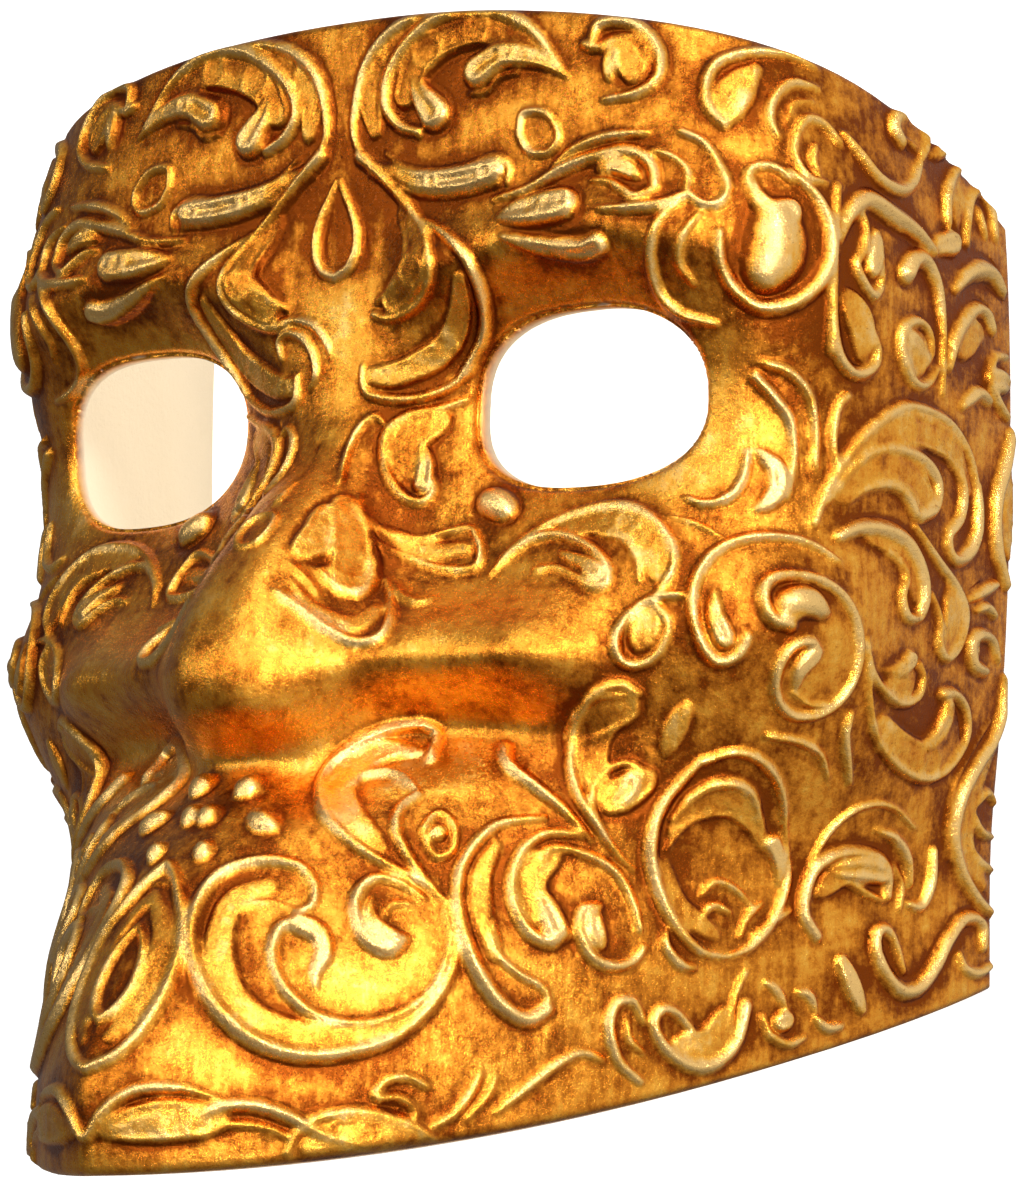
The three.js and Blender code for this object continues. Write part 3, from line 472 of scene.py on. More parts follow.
LEAVES = {
    "forehead": [
        [[1.2, 3.2, 2.4], (96.5, 86.5), (103, 91), (111, 91), (118, 87.6), (122.6, 82)],
        [[0.8, 2.4, 1.4], (118, 93.4), (125, 89.2), (129.6, 83), (130.6, 76.5)],
        [[1.4, 3, 2.4], (128.5, 62), (126.2, 57), (126.4, 52), (130, 47.6)],
        [[1, 2.3, 1.4], (117.6, 50), (117.8, 44), (120, 39), (126.7, 35.4), (131.5, 35.4)],
    ],
    "top_edge": [
        [[1.6, 3, 1.6], (83, 86.5), (80, 84.6), (80.4, 81)],
        [[1, 2.2, 1.4], (60, 81.6), (65.6, 78), (67.4, 73.6)],
        [[1.2, 2.6, 1.4], (27.6, 73), (29.4, 74.8), (31.2, 74.4)],
        [[0.8, 2, 1], (12, 69), (16, 66), (17.4, 61)],
    ],
    "temple": [
        [[1.4, 2.8, 1.4], (43.5, 36), (44.4, 40.5), (48, 45)],
        [[2, 3, 2], (30, 36), (30.4, 38), (30.6, 39.6)],
        [[1.2, 2.6, 1.2], (11, 43.4), (13.6, 43), (17.4, 39.4)],
    ],
    "eye_side": [
        [[2.6, 2.9, 1], (28, 14.5), (31, 17.6), (36, 18.6), (42, 17), (47.5, 12.5)],
        [[1.2, 2.8, 1.2], (15, 17), (20, 23), (27, 25), (34, 25), (40, 23), (46.5, 17)],
        [[1, 2.6, 1.2], (2, 22), (3.4, 15), (1.6, 8)],
    ],
    "cheek": [
        [[1.2, 2.2, 1.4], (30.5, -2), (31.2, 3), (35, 6), (41, 6.8)],
        [[1.2, 2.8, 2.2], (19.4, 0), (18.6, -4.6), (19.6, -8)],
        [[1.6, 3, 1.2], (17, -20.5), (16.8, -25), (22, -28), (29, -26.5), (35.5, -22.5)],
        [[1, 2, 0.8], (29.4, -14.6), (31.4, -16.6), (36, -15.8)],
        [[1.2, 2.6, 1], (80.5, -1), (79.8, 4), (83, 8), (89, 8.4), (95, 7.6)],
        [[1.4, 2.4, 1], (83.4, -12), (83, -9), (82.6, -7)],
    ],
    "nose_side": [
        [[2.2, 3.8, 3.2], (131.5, 12.8), (130.8, 8), (131.2, 3.8), (132.2, 0.6)],
        [[1.8, 3, 2.2], (139.8, 4.6), (136.4, 7), (134.4, 11)],
        [[0.8, 1.9, 1.2], (143, -3), (139, -5.2), (134.4, -7.4), (129.8, -8), (127, -5.2)],
        [[1.4, 3.2, 1.6], (117.4, 27.6), (122.6, 24.6), (122, 18.4)],
        [[0.8, 1.8, 0.8], (111.4, 5.6), (118, 5), (126, 9)],
    ],
    "jaw": [
        [[1.2, 2.6, 1], (113.4, -28.4), (119, -28.4), (123, -33.5), (121, -39), (115.5, -44.5)],
        [[1.4, 2.4, 0.8], (82.5, -22.4), (85, -26.4), (83.5, -32), (79.5, -38)],
        [[0.8, 2.5, 1.4], (109, -67.5), (115, -72.4), (123, -74.8), (131, -74.6), (137.5, -72.2),
         (141.4, -67.4), (142.4, -60), (139.5, -53.4), (133.5, -50.8)],
        [[0.8, 1.8, 1.2], (97.5, -44), (100, -49), (100.4, -55), (98.8, -61.5)],
        [[1.4, 2.8, 1.8], (88, -45.4), (92, -49), (91.4, -55)],
        [[1.2, 3.4, 2.4], (89.6, -26.6), (86, -23), (82.4, -21.8)],
        [[1.2, 2.8, 2], (80, -37.6), (77.2, -34.6), (75.2, -33.2)],
        [[0.7, 1.9, 0.8], (73.4, -29), (73.1, -25.4), (72.6, -21.6)],
    ],
    "medallion": [
        [[1, 2, 1], (51.5, -43), (57, -36.6), (63, -36), (68.6, -41)],
        [[0.8, 2, 1], (69.2, -46), (67, -53), (60.5, -57.4)],
    ],
    "jaw_back": [
        [[1, 2.4, 1], (1.5, -21), (6, -27), (9.2, -34), (8.6, -41), (3, -47)],
        [[1, 2.2, 1], (30, -47), (36, -46.6), (40.4, -50)],
    ],
    "bottom_edge": [
        [[1.4, 2.8, 1.2], (58, -70), (61, -74.8), (67, -75)],
        [[1.2, 3.2, 1.8], (161, -89.4), (152.7, -88), (143.4, -87.8)],
        [[1.4, 3.2, 2.2], (129.4, -92), (121.6, -90), (112.8, -92.2)],
    ],
    "chin": [
        [[1, 2.2, 1.2], (152.2, -52), (151.2, -60), (154, -68), (160, -75)],
    ],
}
BUDS = {
    "brow": [
        [[3.2, 5, 3.4], (61.5, 56.5), (61.5, 51.5), (63.2, 47.6)],
    ],
    "nose_side": [
        [[2.5, 2.8, 2.7], (105, 11.8), (106, 12.6), (107, 13.2)],
    ],
    "chin": [
        [[2, 2.4, 2], (137.8, -33.6), (138.3, -34.2), (138.8, -34.8)],
        [[1.8, 2.1, 1.8], (143.8, -38.4), (144.2, -39), (144.6, -39.6)],
        [[1.6, 2.4, 2], (136, -39.4), (134.8, -40.2), (133.8, -41)],
        [[1.5, 1.8, 1.5], (144, -44.4), (144.2, -45), (144.4, -45.6)],
    ],
    "cheek": [
        [[0.8, 2.6, 2.2], (52.5, -6.6), (56.4, -5), (60, -5.4)],
    ],
}
FAR_CORDS = [
    [[0.6, 1, 0.5], (130, 39.8), (130.4, 42.6), (132.9, 44), (135.6, 43), (137.2, 40.4), (137.2, 37),
     (135, 34.6)],
    [[0.5, 0.9, 0.5], (128.6, 44.4), (133, 46), (138, 45), (140.6, 40.6), (140.6, 36.6)],
]
CENTRE_CORDS = [
    [[0.9, 1.2, 0.5], (0, 52.6), (3, 54.2), (4.3, 58), (3.5, 62.4), (1.4, 66.6), (0.3, 69)],
    [[0.6, 0.8, 0.6], (0, 11.4), (2.2, 10.4), (2.9, 8.2), (2.1, 6), (0, 5.2)],
]
STEP = 0.35
WIDTH_SHARE = 1.08
LEAST_HALF_WIDTH = 0.3
CHUNK = 30


def curve(stroke):
    """Smooth curve through a stroke's places, a Catmull-Rom spline sampled at even steps, and
    its half width there, a parabola through the three given."""
    start, middle, end = stroke[0]
    places = np.array(stroke[1:], float)
    ends = [2 * places[0] - places[1]], [2 * places[-1] - places[-2]]
    p = np.concatenate([ends[0], places, ends[1]])
    t = np.linspace(0, len(places) - 1, 24 * (len(places) - 1) + 1)
    k = np.minimum(t.astype(int), len(places) - 2)
    s = (t - k)[:, None]
    bend = (2 * p[k] - 5 * p[k + 1] + 4 * p[k + 2] - p[k + 3]) * s ** 2
    turn = (3 * p[k + 1] - p[k] - 3 * p[k + 2] + p[k + 3]) * s ** 3
    fine = p[k + 1] + 0.5 * ((p[k + 2] - p[k]) * s + bend + turn)
    travelled = np.concatenate([[0], np.cumsum(np.linalg.norm(np.diff(fine, axis=0), axis=1))])
    even = np.linspace(0, travelled[-1], max(4, int(travelled[-1] / STEP)))
    along = np.stack([np.interp(even, travelled, fine[:, axis]) for axis in (0, 1)], 1)
    u = even / travelled[-1]
    width = start * (2 * u - 1) * (u - 1) + middle * 4 * u * (1 - u) + end * u * (2 * u - 1)
    return along, np.maximum(width * WIDTH_SHARE, LEAST_HALF_WIDTH)


# The way round the face is measured along level lines, from the back rim to past the nose.
ROUND_ANGLES = np.linspace(math.pi / 2, -0.4, 420)
ROUND_HEIGHTS = np.arange(-97.0, 98.0)
round_points = surface(ROUND_ANGLES[None, :], ROUND_HEIGHTS[:, None] + 0 * ROUND_ANGLES[None, :])
round_steps = np.linalg.norm(np.diff(round_points, axis=1), axis=-1)
round_lengths = np.concatenate([np.zeros((len(ROUND_HEIGHTS), 1)), np.cumsum(round_steps, 1)], 1)


def angle_at(along):
    """Angle round from the nose of places given by their way round the face and their height."""
    row = np.clip(along[:, 1] - ROUND_HEIGHTS[0], 0, len(ROUND_HEIGHTS) - 1.001)
    k = row.astype(int)
    s = (row - k)[:, None]
    lengths = round_lengths[k] * (1 - s) + round_lengths[k + 1] * s
    after = np.clip((lengths < along[:, :1]).sum(1), 1, lengths.shape[1] - 1)
    each = np.arange(len(along))
    low, high = lengths[each, after - 1], lengths[each, after]
    share = np.clip((along[:, 0] - low) / (high - low), 0, 1)
    return ROUND_ANGLES[after - 1] * (1 - share) + ROUND_ANGLES[after] * share


def way_round(angle, y):
    """The way round the face from the back rim of its own side, at angles and heights."""
    row = np.clip(y - ROUND_HEIGHTS[0], 0, len(ROUND_HEIGHTS) - 1.001)
    share = (ROUND_ANGLES[0] - np.abs(angle)) / (ROUND_ANGLES[0] - ROUND_ANGLES[-1])
    column = share * (len(ROUND_ANGLES) - 1)
    i, j = row.astype(int), column.astype(int)
    s, t = row - i, column - j
    lower = round_lengths[i, j] * (1 - t) + round_lengths[i, j + 1] * t
    upper = round_lengths[i + 1, j] * (1 - t) + round_lengths[i + 1, j + 1] * t
    return lower * (1 - s) + upper * s


def cord_profile(u):
    """Cord with a fine ridge: 1 - u^1.35 across its half width."""
    return np.clip(1 - u ** 1.35, 0, 1)


def drop_profile(u):
    """Dished drop: a dome (1 - u^3)^0.8, less 0.42 e^-(u / 0.42)^2 in its middle."""
    return np.clip(1 - u ** 3, 0, 1) ** 0.8 - 0.42 * bump(u, 0.42)


def bud_profile(u):
    """Smooth bud: a dome (1 - u^2)^0.8."""
    return np.clip(1 - u ** 2, 0, 1) ** 0.8


def leaf_profile(u):
    """Broad leaf, low in the middle and fuller near its margin, with a vein along each half:
    (1 - u^8)(0.45 + 0.45 u^3), less 0.22 e^-((u - 0.55) / 0.1)^2."""
    vein = 0.22 * bump(u - 0.55, 0.1)
    return np.clip(1 - u ** 8, 0, 1) * (0.45 + 0.45 * u ** 3) - vein


# A stroke's height is a share of its half width and a little more, up to the tallest. The cut
# along its foot has a depth, a place in half widths from its middle, and a half width.
CORD_HEIGHT = (0.7, 0.5)
DROP_HEIGHT = (0.7, 0.5)
BUD_HEIGHT = (0.6, 0.5)
LEAF_HEIGHT = (0.4, 0.55)
TALLEST = 2.3
CUT_DEPTH, CUT_PLACE, CUT_HALF = 0.3, 1.12, 0.15
REACH = 1.6
COVERED = 0.2
HAND_WANDER = 1.1
RIM_HOLD, MIDDLE_HOLD = (0, 12), (130, 150)

half = slice(COLUMNS // 2, None)
half_points = bare_face[:, half].reshape(-1, 3)


def lay(raised, cut_in, line, width, profile, share, least):
    """Raises half of the face under one line: its profile over the distance to the line as a
    share of the half width, times its height, and cuts a fine groove along its foot."""
    for first in range(0, len(line), CHUNK):
        piece, wide = line[first:first + CHUNK + 1], width[first:first + CHUNK + 1]
        reach = REACH * wide.max()
        near = ((half_points > piece.min(0) - reach) & (half_points < piece.max(0) + reach)).all(1)
        where = np.flatnonzero(near)
        away = np.linalg.norm(half_points[where, None] - piece[None], axis=-1) / wide
        closest = away.argmin(1)
        u = away[np.arange(len(where)), closest]
        height = np.minimum(share * wide[closest] + least, TALLEST)
        raised[where] = np.maximum(raised[where], height * profile(u))
        foot = CUT_DEPTH * bump(u - CUT_PLACE, CUT_HALF)
        cut_in[where] = np.maximum(cut_in[where], foot)


def half_relief(wander, own_cords):
    """Height of the ornament over half of the face, and the cuts beside it. Each stroke is
    moved by slow sines of its place, which fade out at the back rim and at the middle."""
    raised, cut_in = np.zeros((2, len(half_points)))
    kinds = (
        (LEAVES, leaf_profile, LEAF_HEIGHT),
        (CORDS, cord_profile, CORD_HEIGHT),
        (DROPS, drop_profile, DROP_HEIGHT),
        (BUDS, bud_profile, BUD_HEIGHT),
        ({"own": own_cords}, cord_profile, CORD_HEIGHT),
    )
    for regions, profile, height in kinds:
        for stroke in [stroke for strokes in regions.values() for stroke in strokes]:
            along, width = curve(stroke)
            held = wander * (1 - ease(*MIDDLE_HOLD, along[:, 0])) * ease(*RIM_HOLD, along[:, 0])
            along[:, 0] += held * np.sin(0.11 * along[:, 1] + 0.05 * along[:, 0])
            along[:, 1] += held * np.sin(0.09 * along[:, 0] - 0.06 * along[:, 1])
            line = surface(angle_at(along), along[:, 1])
            lay(raised, cut_in, line, width, profile, *height)
    for stroke in CENTRE_CORDS:
        along, width = curve(stroke)
        line = surface(along[:, 0] / radius(0 * along[:, 0], along[:, 1]), along[:, 1])
        lay(raised, cut_in, line, width, cord_profile, *CORD_HEIGHT)
    cut_in *= raised < COVERED
    return raised.reshape(ROWS + 1, -1), cut_in.reshape(ROWS + 1, -1)


halves = zip(half_relief(HAND_WANDER, FAR_CORDS), half_relief(0, []))
raised, cut_in = [np.concatenate([far[:, :0:-1], near], 1) for far, near in halves]


def soften(field, size):
    """Gaussian blur of a grid, its size in cells: a weighted mean along rows, then columns."""
    reach = int(math.ceil(3 * size))
    weights = np.exp(-0.5 * (np.arange(-reach, reach + 1) / size) ** 2)
    weights /= weights.sum()
    for axis in (0, 1):
        padded = np.pad(field, [(reach, reach) if a == axis else (0, 0) for a in (0, 1)], "edge")
        windows = np.lib.stride_tricks.sliding_window_view(padded, len(weights), axis)
        field = windows @ weights
    return field


RELIEF_SOFT = 0.8
relief = soften(raised - cut_in, RELIEF_SOFT)

# The edges of the shell and of the eye holes are rounded over by hand where the gesso stops,
# and the ornament dies away towards them.
EDGE_ROUND = 1.6
EDGE_FADE = 1.5


def along_grid(points, axis):
    """Distance along the grid's lines to the nearer of their two ends."""
    steps = np.linalg.norm(np.diff(points, axis=axis), axis=-1)
    start = np.insert(np.cumsum(steps, axis), 0, 0, axis)
    return np.minimum(start, np.take(start, [-1], axis) - start)


eye_u = (np.abs(bare_face[..., 0]) - EYE_X) / EYE_HALF_WIDTH
eye_v = (bare_face[..., 1] - EYE_Y) / EYE_HALF_HEIGHT
from_middle = (np.abs(eye_u) ** EYE_SQUARE + np.abs(eye_v) ** EYE_SQUARE) ** (1 / EYE_SQUARE)
from_eye = (from_middle - 1) * (EYE_HALF_WIDTH + EYE_HALF_HEIGHT) / 2
edge = np.minimum(np.minimum(along_grid(bare_face, 0), along_grid(bare_face, 1)), np.abs(from_eye))
rounded = EDGE_ROUND * (1 - np.sqrt(1 - (1 - np.clip(edge / EDGE_ROUND, 0, 1)) ** 2))
outer = bare_face + face_normal * (relief * ease(0, EDGE_FADE, edge) - rounded)[..., None]
outer[:, [0, -1], 2] = 0

inner_angles, inner_heights = skin_grid(COLUMNS // COARSE, ROWS // COARSE)
inner_face = surface(inner_angles, inner_heights, inside=True)
radial = np.stack([np.sin(inner_angles), 0 * inner_angles, np.cos(inner_angles)], -1)
slant = np.maximum((outward(inner_face) * radial).sum(-1), LEAST_SLANT)
inner = inner_face - radial * (WALL / slant)[..., None]


def quads(rows, columns, first, flip):
    """Corner numbers of a grid's squares, each grid numbered row by row from its first."""
    index = first + np.arange(rows * columns).reshape(rows, columns)
    a, b, c, d = index[:-1, :-1], index[:-1, 1:], index[1:, 1:], index[1:, :-1]
    order = (a, d, c, b) if flip else (a, b, c, d)
    return np.stack(order, -1).reshape(-1, 4), index


outer_quads, outer_index = quads(ROWS + 1, COLUMNS + 1, 0, False)
inner_quads, inner_index = quads(*inner.shape[:2], outer_index.size, True)


def zipper(inside, outside):
    """Joins an inner edge to an outer one that has COARSE steps for each of its own: a fan of
    triangles from each inner corner, and one between two corners and the middle step."""
    middle = COARSE // 2
    fans = []
    for k in range(COARSE):
        corner = inside[:-1] if k < middle else inside[1:]
        fans.append(np.stack([corner, outside[k + 1::COARSE][:len(corner)],
                              outside[k::COARSE][:len(corner)]], -1))
    fans.append(np.stack([inside[:-1], inside[1:], outside[middle::COARSE][:len(inside) - 1]], -1))
    return np.concatenate(fans)


rims = [zipper(inner_index[0], outer_index[0]),
        zipper(inner_index[-1][::-1], outer_index[-1][::-1]),
        zipper(inner_index[::-1, 0], outer_index[::-1, 0]),
        zipper(inner_index[:, -1], outer_index[:, -1])]

points = np.concatenate([outer.reshape(-1, 3), inner.reshape(-1, 3)]) * MM
mesh = bpy.data.meshes.new("gilded_mask")
faces = [*outer_quads.tolist(), *inner_quads.tolist(), *np.concatenate(rims).tolist()]
mesh.from_pydata(points.tolist(), [], faces)
mask = bpy.data.objects.new("gilded_mask", mesh)
bpy.context.scene.collection.objects.link(mask)

# The skins are thinned where they are smooth, and then the eye holes are cut straight through.
TRIANGLES = 188000


def apply_modifiers(piece):
    """Turns a piece's modifiers into its mesh."""
    graph = bpy.context.evaluated_depsgraph_get()
    finished = bpy.data.meshes.new_from_object(piece.evaluated_get(graph))
    piece.modifiers.clear()
    old = piece.data
    piece.data = finished
    bpy.data.meshes.remove(old)


thin = mask.modifiers.new("thin", "DECIMATE")
skin_triangles = 2 * (len(outer_quads) + len(inner_quads))
thin.ratio = TRIANGLES / skin_triangles
apply_modifiers(mask)

EYE_SIDES = 96
PLUG_START, PLUG_END = 10, 2 * CHIN_REACH


def squared(share):
    """A circle's sine or cosine drawn out towards the corners: sign(s) |s|^(2/n)."""
    return np.sign(share) * np.abs(share) ** (2 / EYE_SQUARE)


turn = np.linspace(0, 2 * math.pi, EYE_SIDES, endpoint=False)
oval = np.stack([EYE_HALF_WIDTH * squared(np.cos(turn)), EYE_HALF_HEIGHT * squared(np.sin(turn))], 1)
plugs = []
for side in (1, -1):
    ring = oval + (side * EYE_X, EYE_Y)
    ends = [np.column_stack([ring, np.full(EYE_SIDES, z)]) for z in (PLUG_START, PLUG_END)]
    plug_mesh = bpy.data.meshes.new("eye_plug")
    low = np.arange(EYE_SIDES)
    walls = np.stack([low, np.roll(low, -1), np.roll(low, -1) + EYE_SIDES, low + EYE_SIDES], 1)
    caps = [low[::-1].tolist(), (low + EYE_SIDES).tolist()]
    plug_mesh.from_pydata((np.concatenate(ends) * MM).tolist(), [], walls.tolist() + caps)
    plug = bpy.data.objects.new("eye_plug", plug_mesh)
    bpy.context.scene.collection.objects.link(plug)
    plugs.append(plug)
    cut = mask.modifiers.new("eye", "BOOLEAN")
    cut.operation = "DIFFERENCE"
    cut.solver = "MANIFOLD"
    cut.object = plug
apply_modifiers(mask)
for plug in plugs:
    bpy.data.objects.remove(plug)
mask.data.name = "gilded_mask"
mask.data.shade_smooth()

# The leaf is rubbed off the heights and lies thick with red-brown glaze in the hollows, so the
# finish follows how high each place stands over its surroundings. The cuts along the cords' feet
# darken it as well, partly as glaze and partly as painted shade.
FINE, BROAD = 1.2, 7
# How much the cuts darken: painted shade along the cords' feet, with glaze in them.
CUT_SHARE = 1.6
hollow = soften(relief, FINE) - soften(relief, BROAD) - CUT_SHARE * soften(cut_in, FINE)

# Places where the glaze has pooled, partly real and partly painted shade under the nose's ledge and in
# recesses, or has been rubbed off again, partly real and partly painted highlight on lit flats such as
# the chin: the way round the face, the height, a half size each way, and how much lies there, below
# nought where it is rubbed off.
GLAZE_AND_PAINTED_LIGHT = [(133, 62, 9, 14, 0.8), (112, 85, 8, 7, 0.5), (42, 75, 9, 8, 0.5), (57, 38, 7, 9, 0.7),
          (125, 12, 5, 14, 0.5), (124, -19, 8, 3, 0.3), (104, -19, 8, 3, 0.2), (116, -29, 22, 5, -0.7),
          (86, -27, 8, 8, 0.7), (28, 45, 7, 8, 0.4), (20, -22, 12, 7, 0.6), (64, -44, 8, 11, 0.5),
          (124, -62, 14, 9, -0.7), (118, -36, 9, 7, -0.5),
          (50, -14, 9, 8, -0.7), (136, -8, 9, 6, -0.7), (140, 44, 7, 6, -0.6), (60, 16, 9, 12, -0.5),
          (98, -60, 10, 10, -0.3), (78, 20, 14, 7, -0.4), (34, 40, 8, 8, -0.5), (150, -72, 12, 12, -0.3)]
way = way_round(angles, heights)
glaze_and_painted_light = np.zeros_like(way)
for round_at, height_at, half_round, half_up, amount in GLAZE_AND_PAINTED_LIGHT:
    from_patch = ((way - round_at) / half_round) ** 2 + ((heights - height_at) / half_up) ** 2
    glaze_and_painted_light += amount * np.exp(-from_patch)


def grid_value(field, places):
    """A field of the outer grid at places in space, found by their angle and height: weighted
    between the four grid points round each."""
    angle = np.arctan2(places[:, 0], places[:, 2])
    column = np.interp(angle, angles[0], np.arange(COLUMNS + 1))
    low = np.interp(angle, angles[0], heights[0])
    high = np.interp(angle, angles[0], heights[-1])
    row = np.clip((places[:, 1] - low) / (high - low), 0, 1) * ROWS
    i = np.clip(row.astype(int), 0, ROWS - 1)
    j = np.clip(column.astype(int), 0, COLUMNS - 1)
    s, t = row - i, column - j
    lower = field[i, j] * (1 - t) + field[i, j + 1] * t
    upper = field[i + 1, j] * (1 - t) + field[i + 1, j + 1] * t
    return lower * (1 - s) + upper * s


places = np.empty(len(mask.data.vertices) * 3)
mask.data.vertices.foreach_get("co", places)
places = places.reshape(-1, 3) / MM
reach = np.hypot(places[:, 0], places[:, 2])
bare_reach = grid_value(np.hypot(bare_face[..., 0], bare_face[..., 2]), places)
SKIN_SHARE = 0.6
outside = reach > bare_reach - SKIN_SHARE * WALL
for name, field in (("hollow", hollow), ("glaze_and_painted_light", glaze_and_painted_light)):
    values = np.where(outside, grid_value(field, places), 0)
    mask.data.attributes.new(name, "FLOAT", "POINT").data.foreach_set("value", values)
mask.data.attributes.new("outside", "FLOAT", "POINT").data.foreach_set("value", outside.astype(float))

GOLD = (0.97, 0.46, 0.055, 1)
# Paler gold where the leaf stands high: partly bare leaf, partly painted highlight.
PALE_GOLD = (0.98, 0.61, 0.21, 1)
AMBER = (0.78, 0.26, 0.022, 1)
# Red-brown glaze colour, also used for painted shade.
BOLE_AND_PAINTED_SHADE = (0.24, 0.048, 0.004, 1)
INSIDE = (0.80, 0.68, 0.50, 1)

gilding = bpy.data.materials.new("gilded_papier_mache")
gilding.use_nodes = True
nodes, links = gilding.node_tree.nodes, gilding.node_tree.links
shader = nodes["Principled BSDF"]
place = nodes.new("ShaderNodeTexCoord").outputs["Object"]


def attribute(name):
    """The values stored on the mesh under a name."""
    node = nodes.new("ShaderNodeAttribute")
    node.attribute_name = name
    return node.outputs["Fac"]


def noise(scale, detail=4, roughness=0.55, stretch=(1, 1, 1)):
    """Noise of a size, in features a metre, stretched along the axes."""
    mapping = nodes.new("ShaderNodeMapping")
    mapping.inputs["Scale"].default_value = stretch
    links.new(place, mapping.inputs["Vector"])
    texture = nodes.new("ShaderNodeTexNoise")
    texture.inputs["Scale"].default_value = scale
    texture.inputs["Detail"].default_value = detail
    texture.inputs["Roughness"].default_value = roughness
    links.new(mapping.outputs["Vector"], texture.inputs["Vector"])
    return texture.outputs["Fac"]


def spread(value, low, high, out_low=0, out_high=1):
    """Maps low..high to out_low..out_high, held at the ends."""
    node = nodes.new("ShaderNodeMapRange")
    for name, number in (("From Min", low), ("From Max", high), ("To Min", out_low), ("To Max", out_high)):
        node.inputs[name].default_value = number
    links.new(value, node.inputs["Value"])
    return node.outputs["Result"]


def math_node(first, second, operation="ADD"):
    """One Math node on two values, either of which may be a number."""
    node = nodes.new("ShaderNodeMath")
    node.operation = operation
    for socket, value in zip(node.inputs, (first, second)):
        if isinstance(value, (int, float)):
            socket.default_value = value
        else:
            links.new(value, socket)
    return node.outputs["Value"]


def blend(share, first, second):
    """Colour between two by a share."""
    node = nodes.new("ShaderNodeMix")
    node.data_type = "RGBA"
    links.new(share, node.inputs["Factor"])
    for socket, colour in ((node.inputs["A"], first), (node.inputs["B"], second)):
        if isinstance(colour, tuple):
            socket.default_value = colour
        else:
            links.new(colour, socket)
    return node.outputs["Result"]


# This value is high on bare leaf and on the heights, where the paler gold is partly painted
# highlight, middling under a thin amber glaze, and low where the red-brown glaze lies thick and where
# shade is painted along the cords' feet, under the nose's ledge and in recesses. Each texture adds
# to it or takes away, and dark specks lie over all.
patches = noise(38, 5, 0.6)
mottle = noise(150, 5, 0.7)
grain = noise(420, 6, 0.85)
specks = noise(1500, 3, 0.7)
streaks = noise(600, 4, 0.65, (1, 0.16, 1))
wear_and_painted_light = math_node(attribute("hollow"), 1.5, "MULTIPLY")
for texture, share in ((patches, 1), (mottle, 1.3), (grain, 1.7), (streaks, 1)):
    wear_and_painted_light = math_node(wear_and_painted_light, math_node(math_node(texture, -0.5), share, "MULTIPLY"))
# The glaze patches darken with painted shade and lighten with painted highlight here.
wear_and_painted_light = math_node(wear_and_painted_light, math_node(attribute("glaze_and_painted_light"), -0.7, "MULTIPLY"))
# The heights turn to the paler gold, partly bare leaf and partly painted highlight.
leaf = blend(spread(wear_and_painted_light, 0.25, 0.9), GOLD, PALE_GOLD)
tinted = blend(spread(wear_and_painted_light, 0.35, -0.2), leaf, AMBER)
# Thick glaze, with painted shade at the cords' feet, under the ledge and in recesses.
glazed_and_painted_shade = blend(spread(wear_and_painted_light, -0.1, -0.65), tinted, BOLE_AND_PAINTED_SHADE)
speckled = blend(spread(specks, 0.6, 0.7, 0, 0.5), glazed_and_painted_shade, BOLE_AND_PAINTED_SHADE)
coloured = blend(attribute("outside"), INSIDE, speckled)
links.new(coloured, shader.inputs["Base Color"])
links.new(attribute("outside"), shader.inputs["Metallic"])
rough = spread(math_node(mottle, specks), 0.75, 1.25, 0.16, 0.36)
matt = math_node(spread(attribute("outside"), 0, 1, 0.4, 0), spread(wear_and_painted_light, 0, -0.7, 0, 0.04))
links.new(math_node(rough, matt), shader.inputs["Roughness"])

# Fine crumples in the leaf, and the drag of the brush.
crumple = noise(620, 5, 0.75)
dents = nodes.new("ShaderNodeBump")
dents.inputs["Distance"].default_value = 0.00026
dents.inputs["Strength"].default_value = 0.8
links.new(math_node(crumple, math_node(streaks, 0.35, "MULTIPLY")), dents.inputs["Height"])
links.new(dents.outputs["Normal"], shader.inputs["Normal"])
mask.data.materials.clear()
mask.data.materials.append(gilding)
mask.data.polygons.foreach_set("material_index", np.zeros(len(mask.data.polygons), np.int32))

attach(mask, "root")
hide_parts("mask_shell")

# The mask lies on a plain pale table in a soft studio light, and the camera looks down on it
# from over its left cheek. The table is left out of reflections, so the gold sees the studio.
FLOOR_HALF = 3.0
floor_mesh = bpy.data.meshes.new("floor")
corners = [(-FLOOR_HALF, -FLOOR_HALF, 0), (FLOOR_HALF, -FLOOR_HALF, 0),
           (FLOOR_HALF, FLOOR_HALF, 0), (-FLOOR_HALF, FLOOR_HALF, 0)]
floor_mesh.from_pydata(corners, [], [(0, 1, 2, 3)])
floor = bpy.data.objects.new("floor", floor_mesh)
bpy.context.scene.collection.objects.link(floor)
paper = bpy.data.materials.new("pale_table")
paper.use_nodes = True
paper_shader = paper.node_tree.nodes["Principled BSDF"]
paper_shader.inputs["Base Color"].default_value = (0.9, 0.9, 0.9, 1)
paper_shader.inputs["Roughness"].default_value = 0.8
paper_shader.inputs["Emission Color"].default_value = (1, 1, 1, 1)
paper_shader.inputs["Emission Strength"].default_value = 0.75
floor_mesh.materials.append(paper)
floor.visible_glossy = False

TARGET = np.array([0, 4.1, 21.2]) * MM
BACK = np.array([0.5696, -0.1175, 0.8135])
DISTANCE = 1.060
SENSOR = 36
FOCAL_PIXELS = 6201
IMAGE_HEIGHT = 1200


def aim(thing, position, target):
    """Puts a lamp or camera at a position, its -Z axis at the target and its +Y as near up."""
    back = (position - target) / np.linalg.norm(position - target)
    right = np.cross((0, 1, 0), back)
    right /= np.linalg.norm(right)
    rows = np.eye(4)
    rows[:3, 0], rows[:3, 1], rows[:3, 2], rows[:3, 3] = right, np.cross(back, right), back, position
    thing.matrix_world = rows.T.tolist()


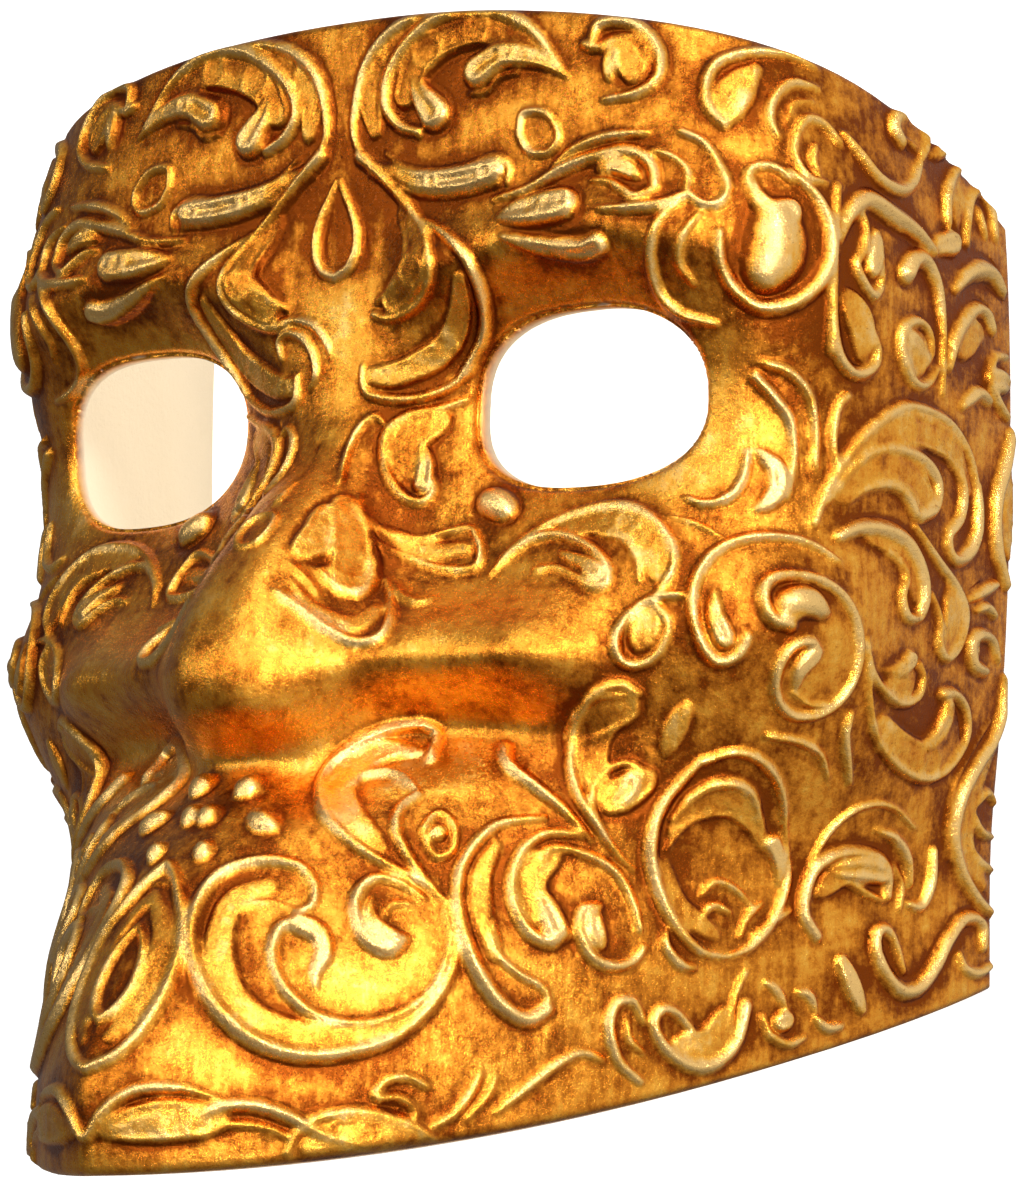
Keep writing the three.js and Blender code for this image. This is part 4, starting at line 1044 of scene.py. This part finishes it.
camera_data = bpy.data.cameras.new("camera")
camera_data.sensor_width = SENSOR
camera_data.lens = FOCAL_PIXELS / IMAGE_HEIGHT * SENSOR
camera_data.clip_end = 20
camera = bpy.data.objects.new("camera", camera_data)
bpy.context.scene.collection.objects.link(camera)
aim(camera, TARGET + DISTANCE * BACK, TARGET)
bpy.context.scene.camera = camera

# Each lamp has a place in metres, a width in metres and a power in watts.
for name, position, size, watts in (
    ("key", (1.25, 0.35, 0.95), 0.22, 11),
    ("top", (0.5, 1.3, 0.8), 0.22, 5),
    ("front", (0.0, 0.5, 1.5), 0.25, 4),
    ("left", (-0.86, 0.45, 1.28), 0.25, 2.5),
):
    lamp_data = bpy.data.lights.new(name, "AREA")
    lamp_data.shape = "SQUARE"
    lamp_data.size = size
    lamp_data.energy = watts
    lamp = bpy.data.objects.new(name, lamp_data)
    bpy.context.scene.collection.objects.link(lamp)
    aim(lamp, np.array(position), TARGET)

# The studio is brightest on one side, and dims smoothly to the other.
BRIGHT_SIDE = (0.86, 0.5, 0.0)
DIM_AT, BRIGHT_AT = -0.6, 0.9
DIM, BRIGHT = 0.16, 0.8
world = bpy.data.worlds.new("studio")
world.use_nodes = True
sky, sky_links = world.node_tree.nodes, world.node_tree.links
facing = sky.new("ShaderNodeVectorMath")
facing.operation = "DOT_PRODUCT"
facing.inputs[1].default_value = BRIGHT_SIDE
sky_links.new(sky.new("ShaderNodeTexCoord").outputs["Generated"], facing.inputs[0])
ramp = sky.new("ShaderNodeMapRange")
ramp.interpolation_type = "SMOOTHSTEP"
for name, number in (("From Min", DIM_AT), ("From Max", BRIGHT_AT), ("To Min", DIM), ("To Max", BRIGHT)):
    ramp.inputs[name].default_value = number
sky_links.new(facing.outputs["Value"], ramp.inputs["Value"])
sky_links.new(ramp.outputs["Result"], sky["Background"].inputs["Strength"])
sky["Background"].inputs["Color"].default_value = (1, 0.99, 0.96, 1)
bpy.context.scene.world = world
bpy.context.scene.view_settings.view_transform = "Standard"
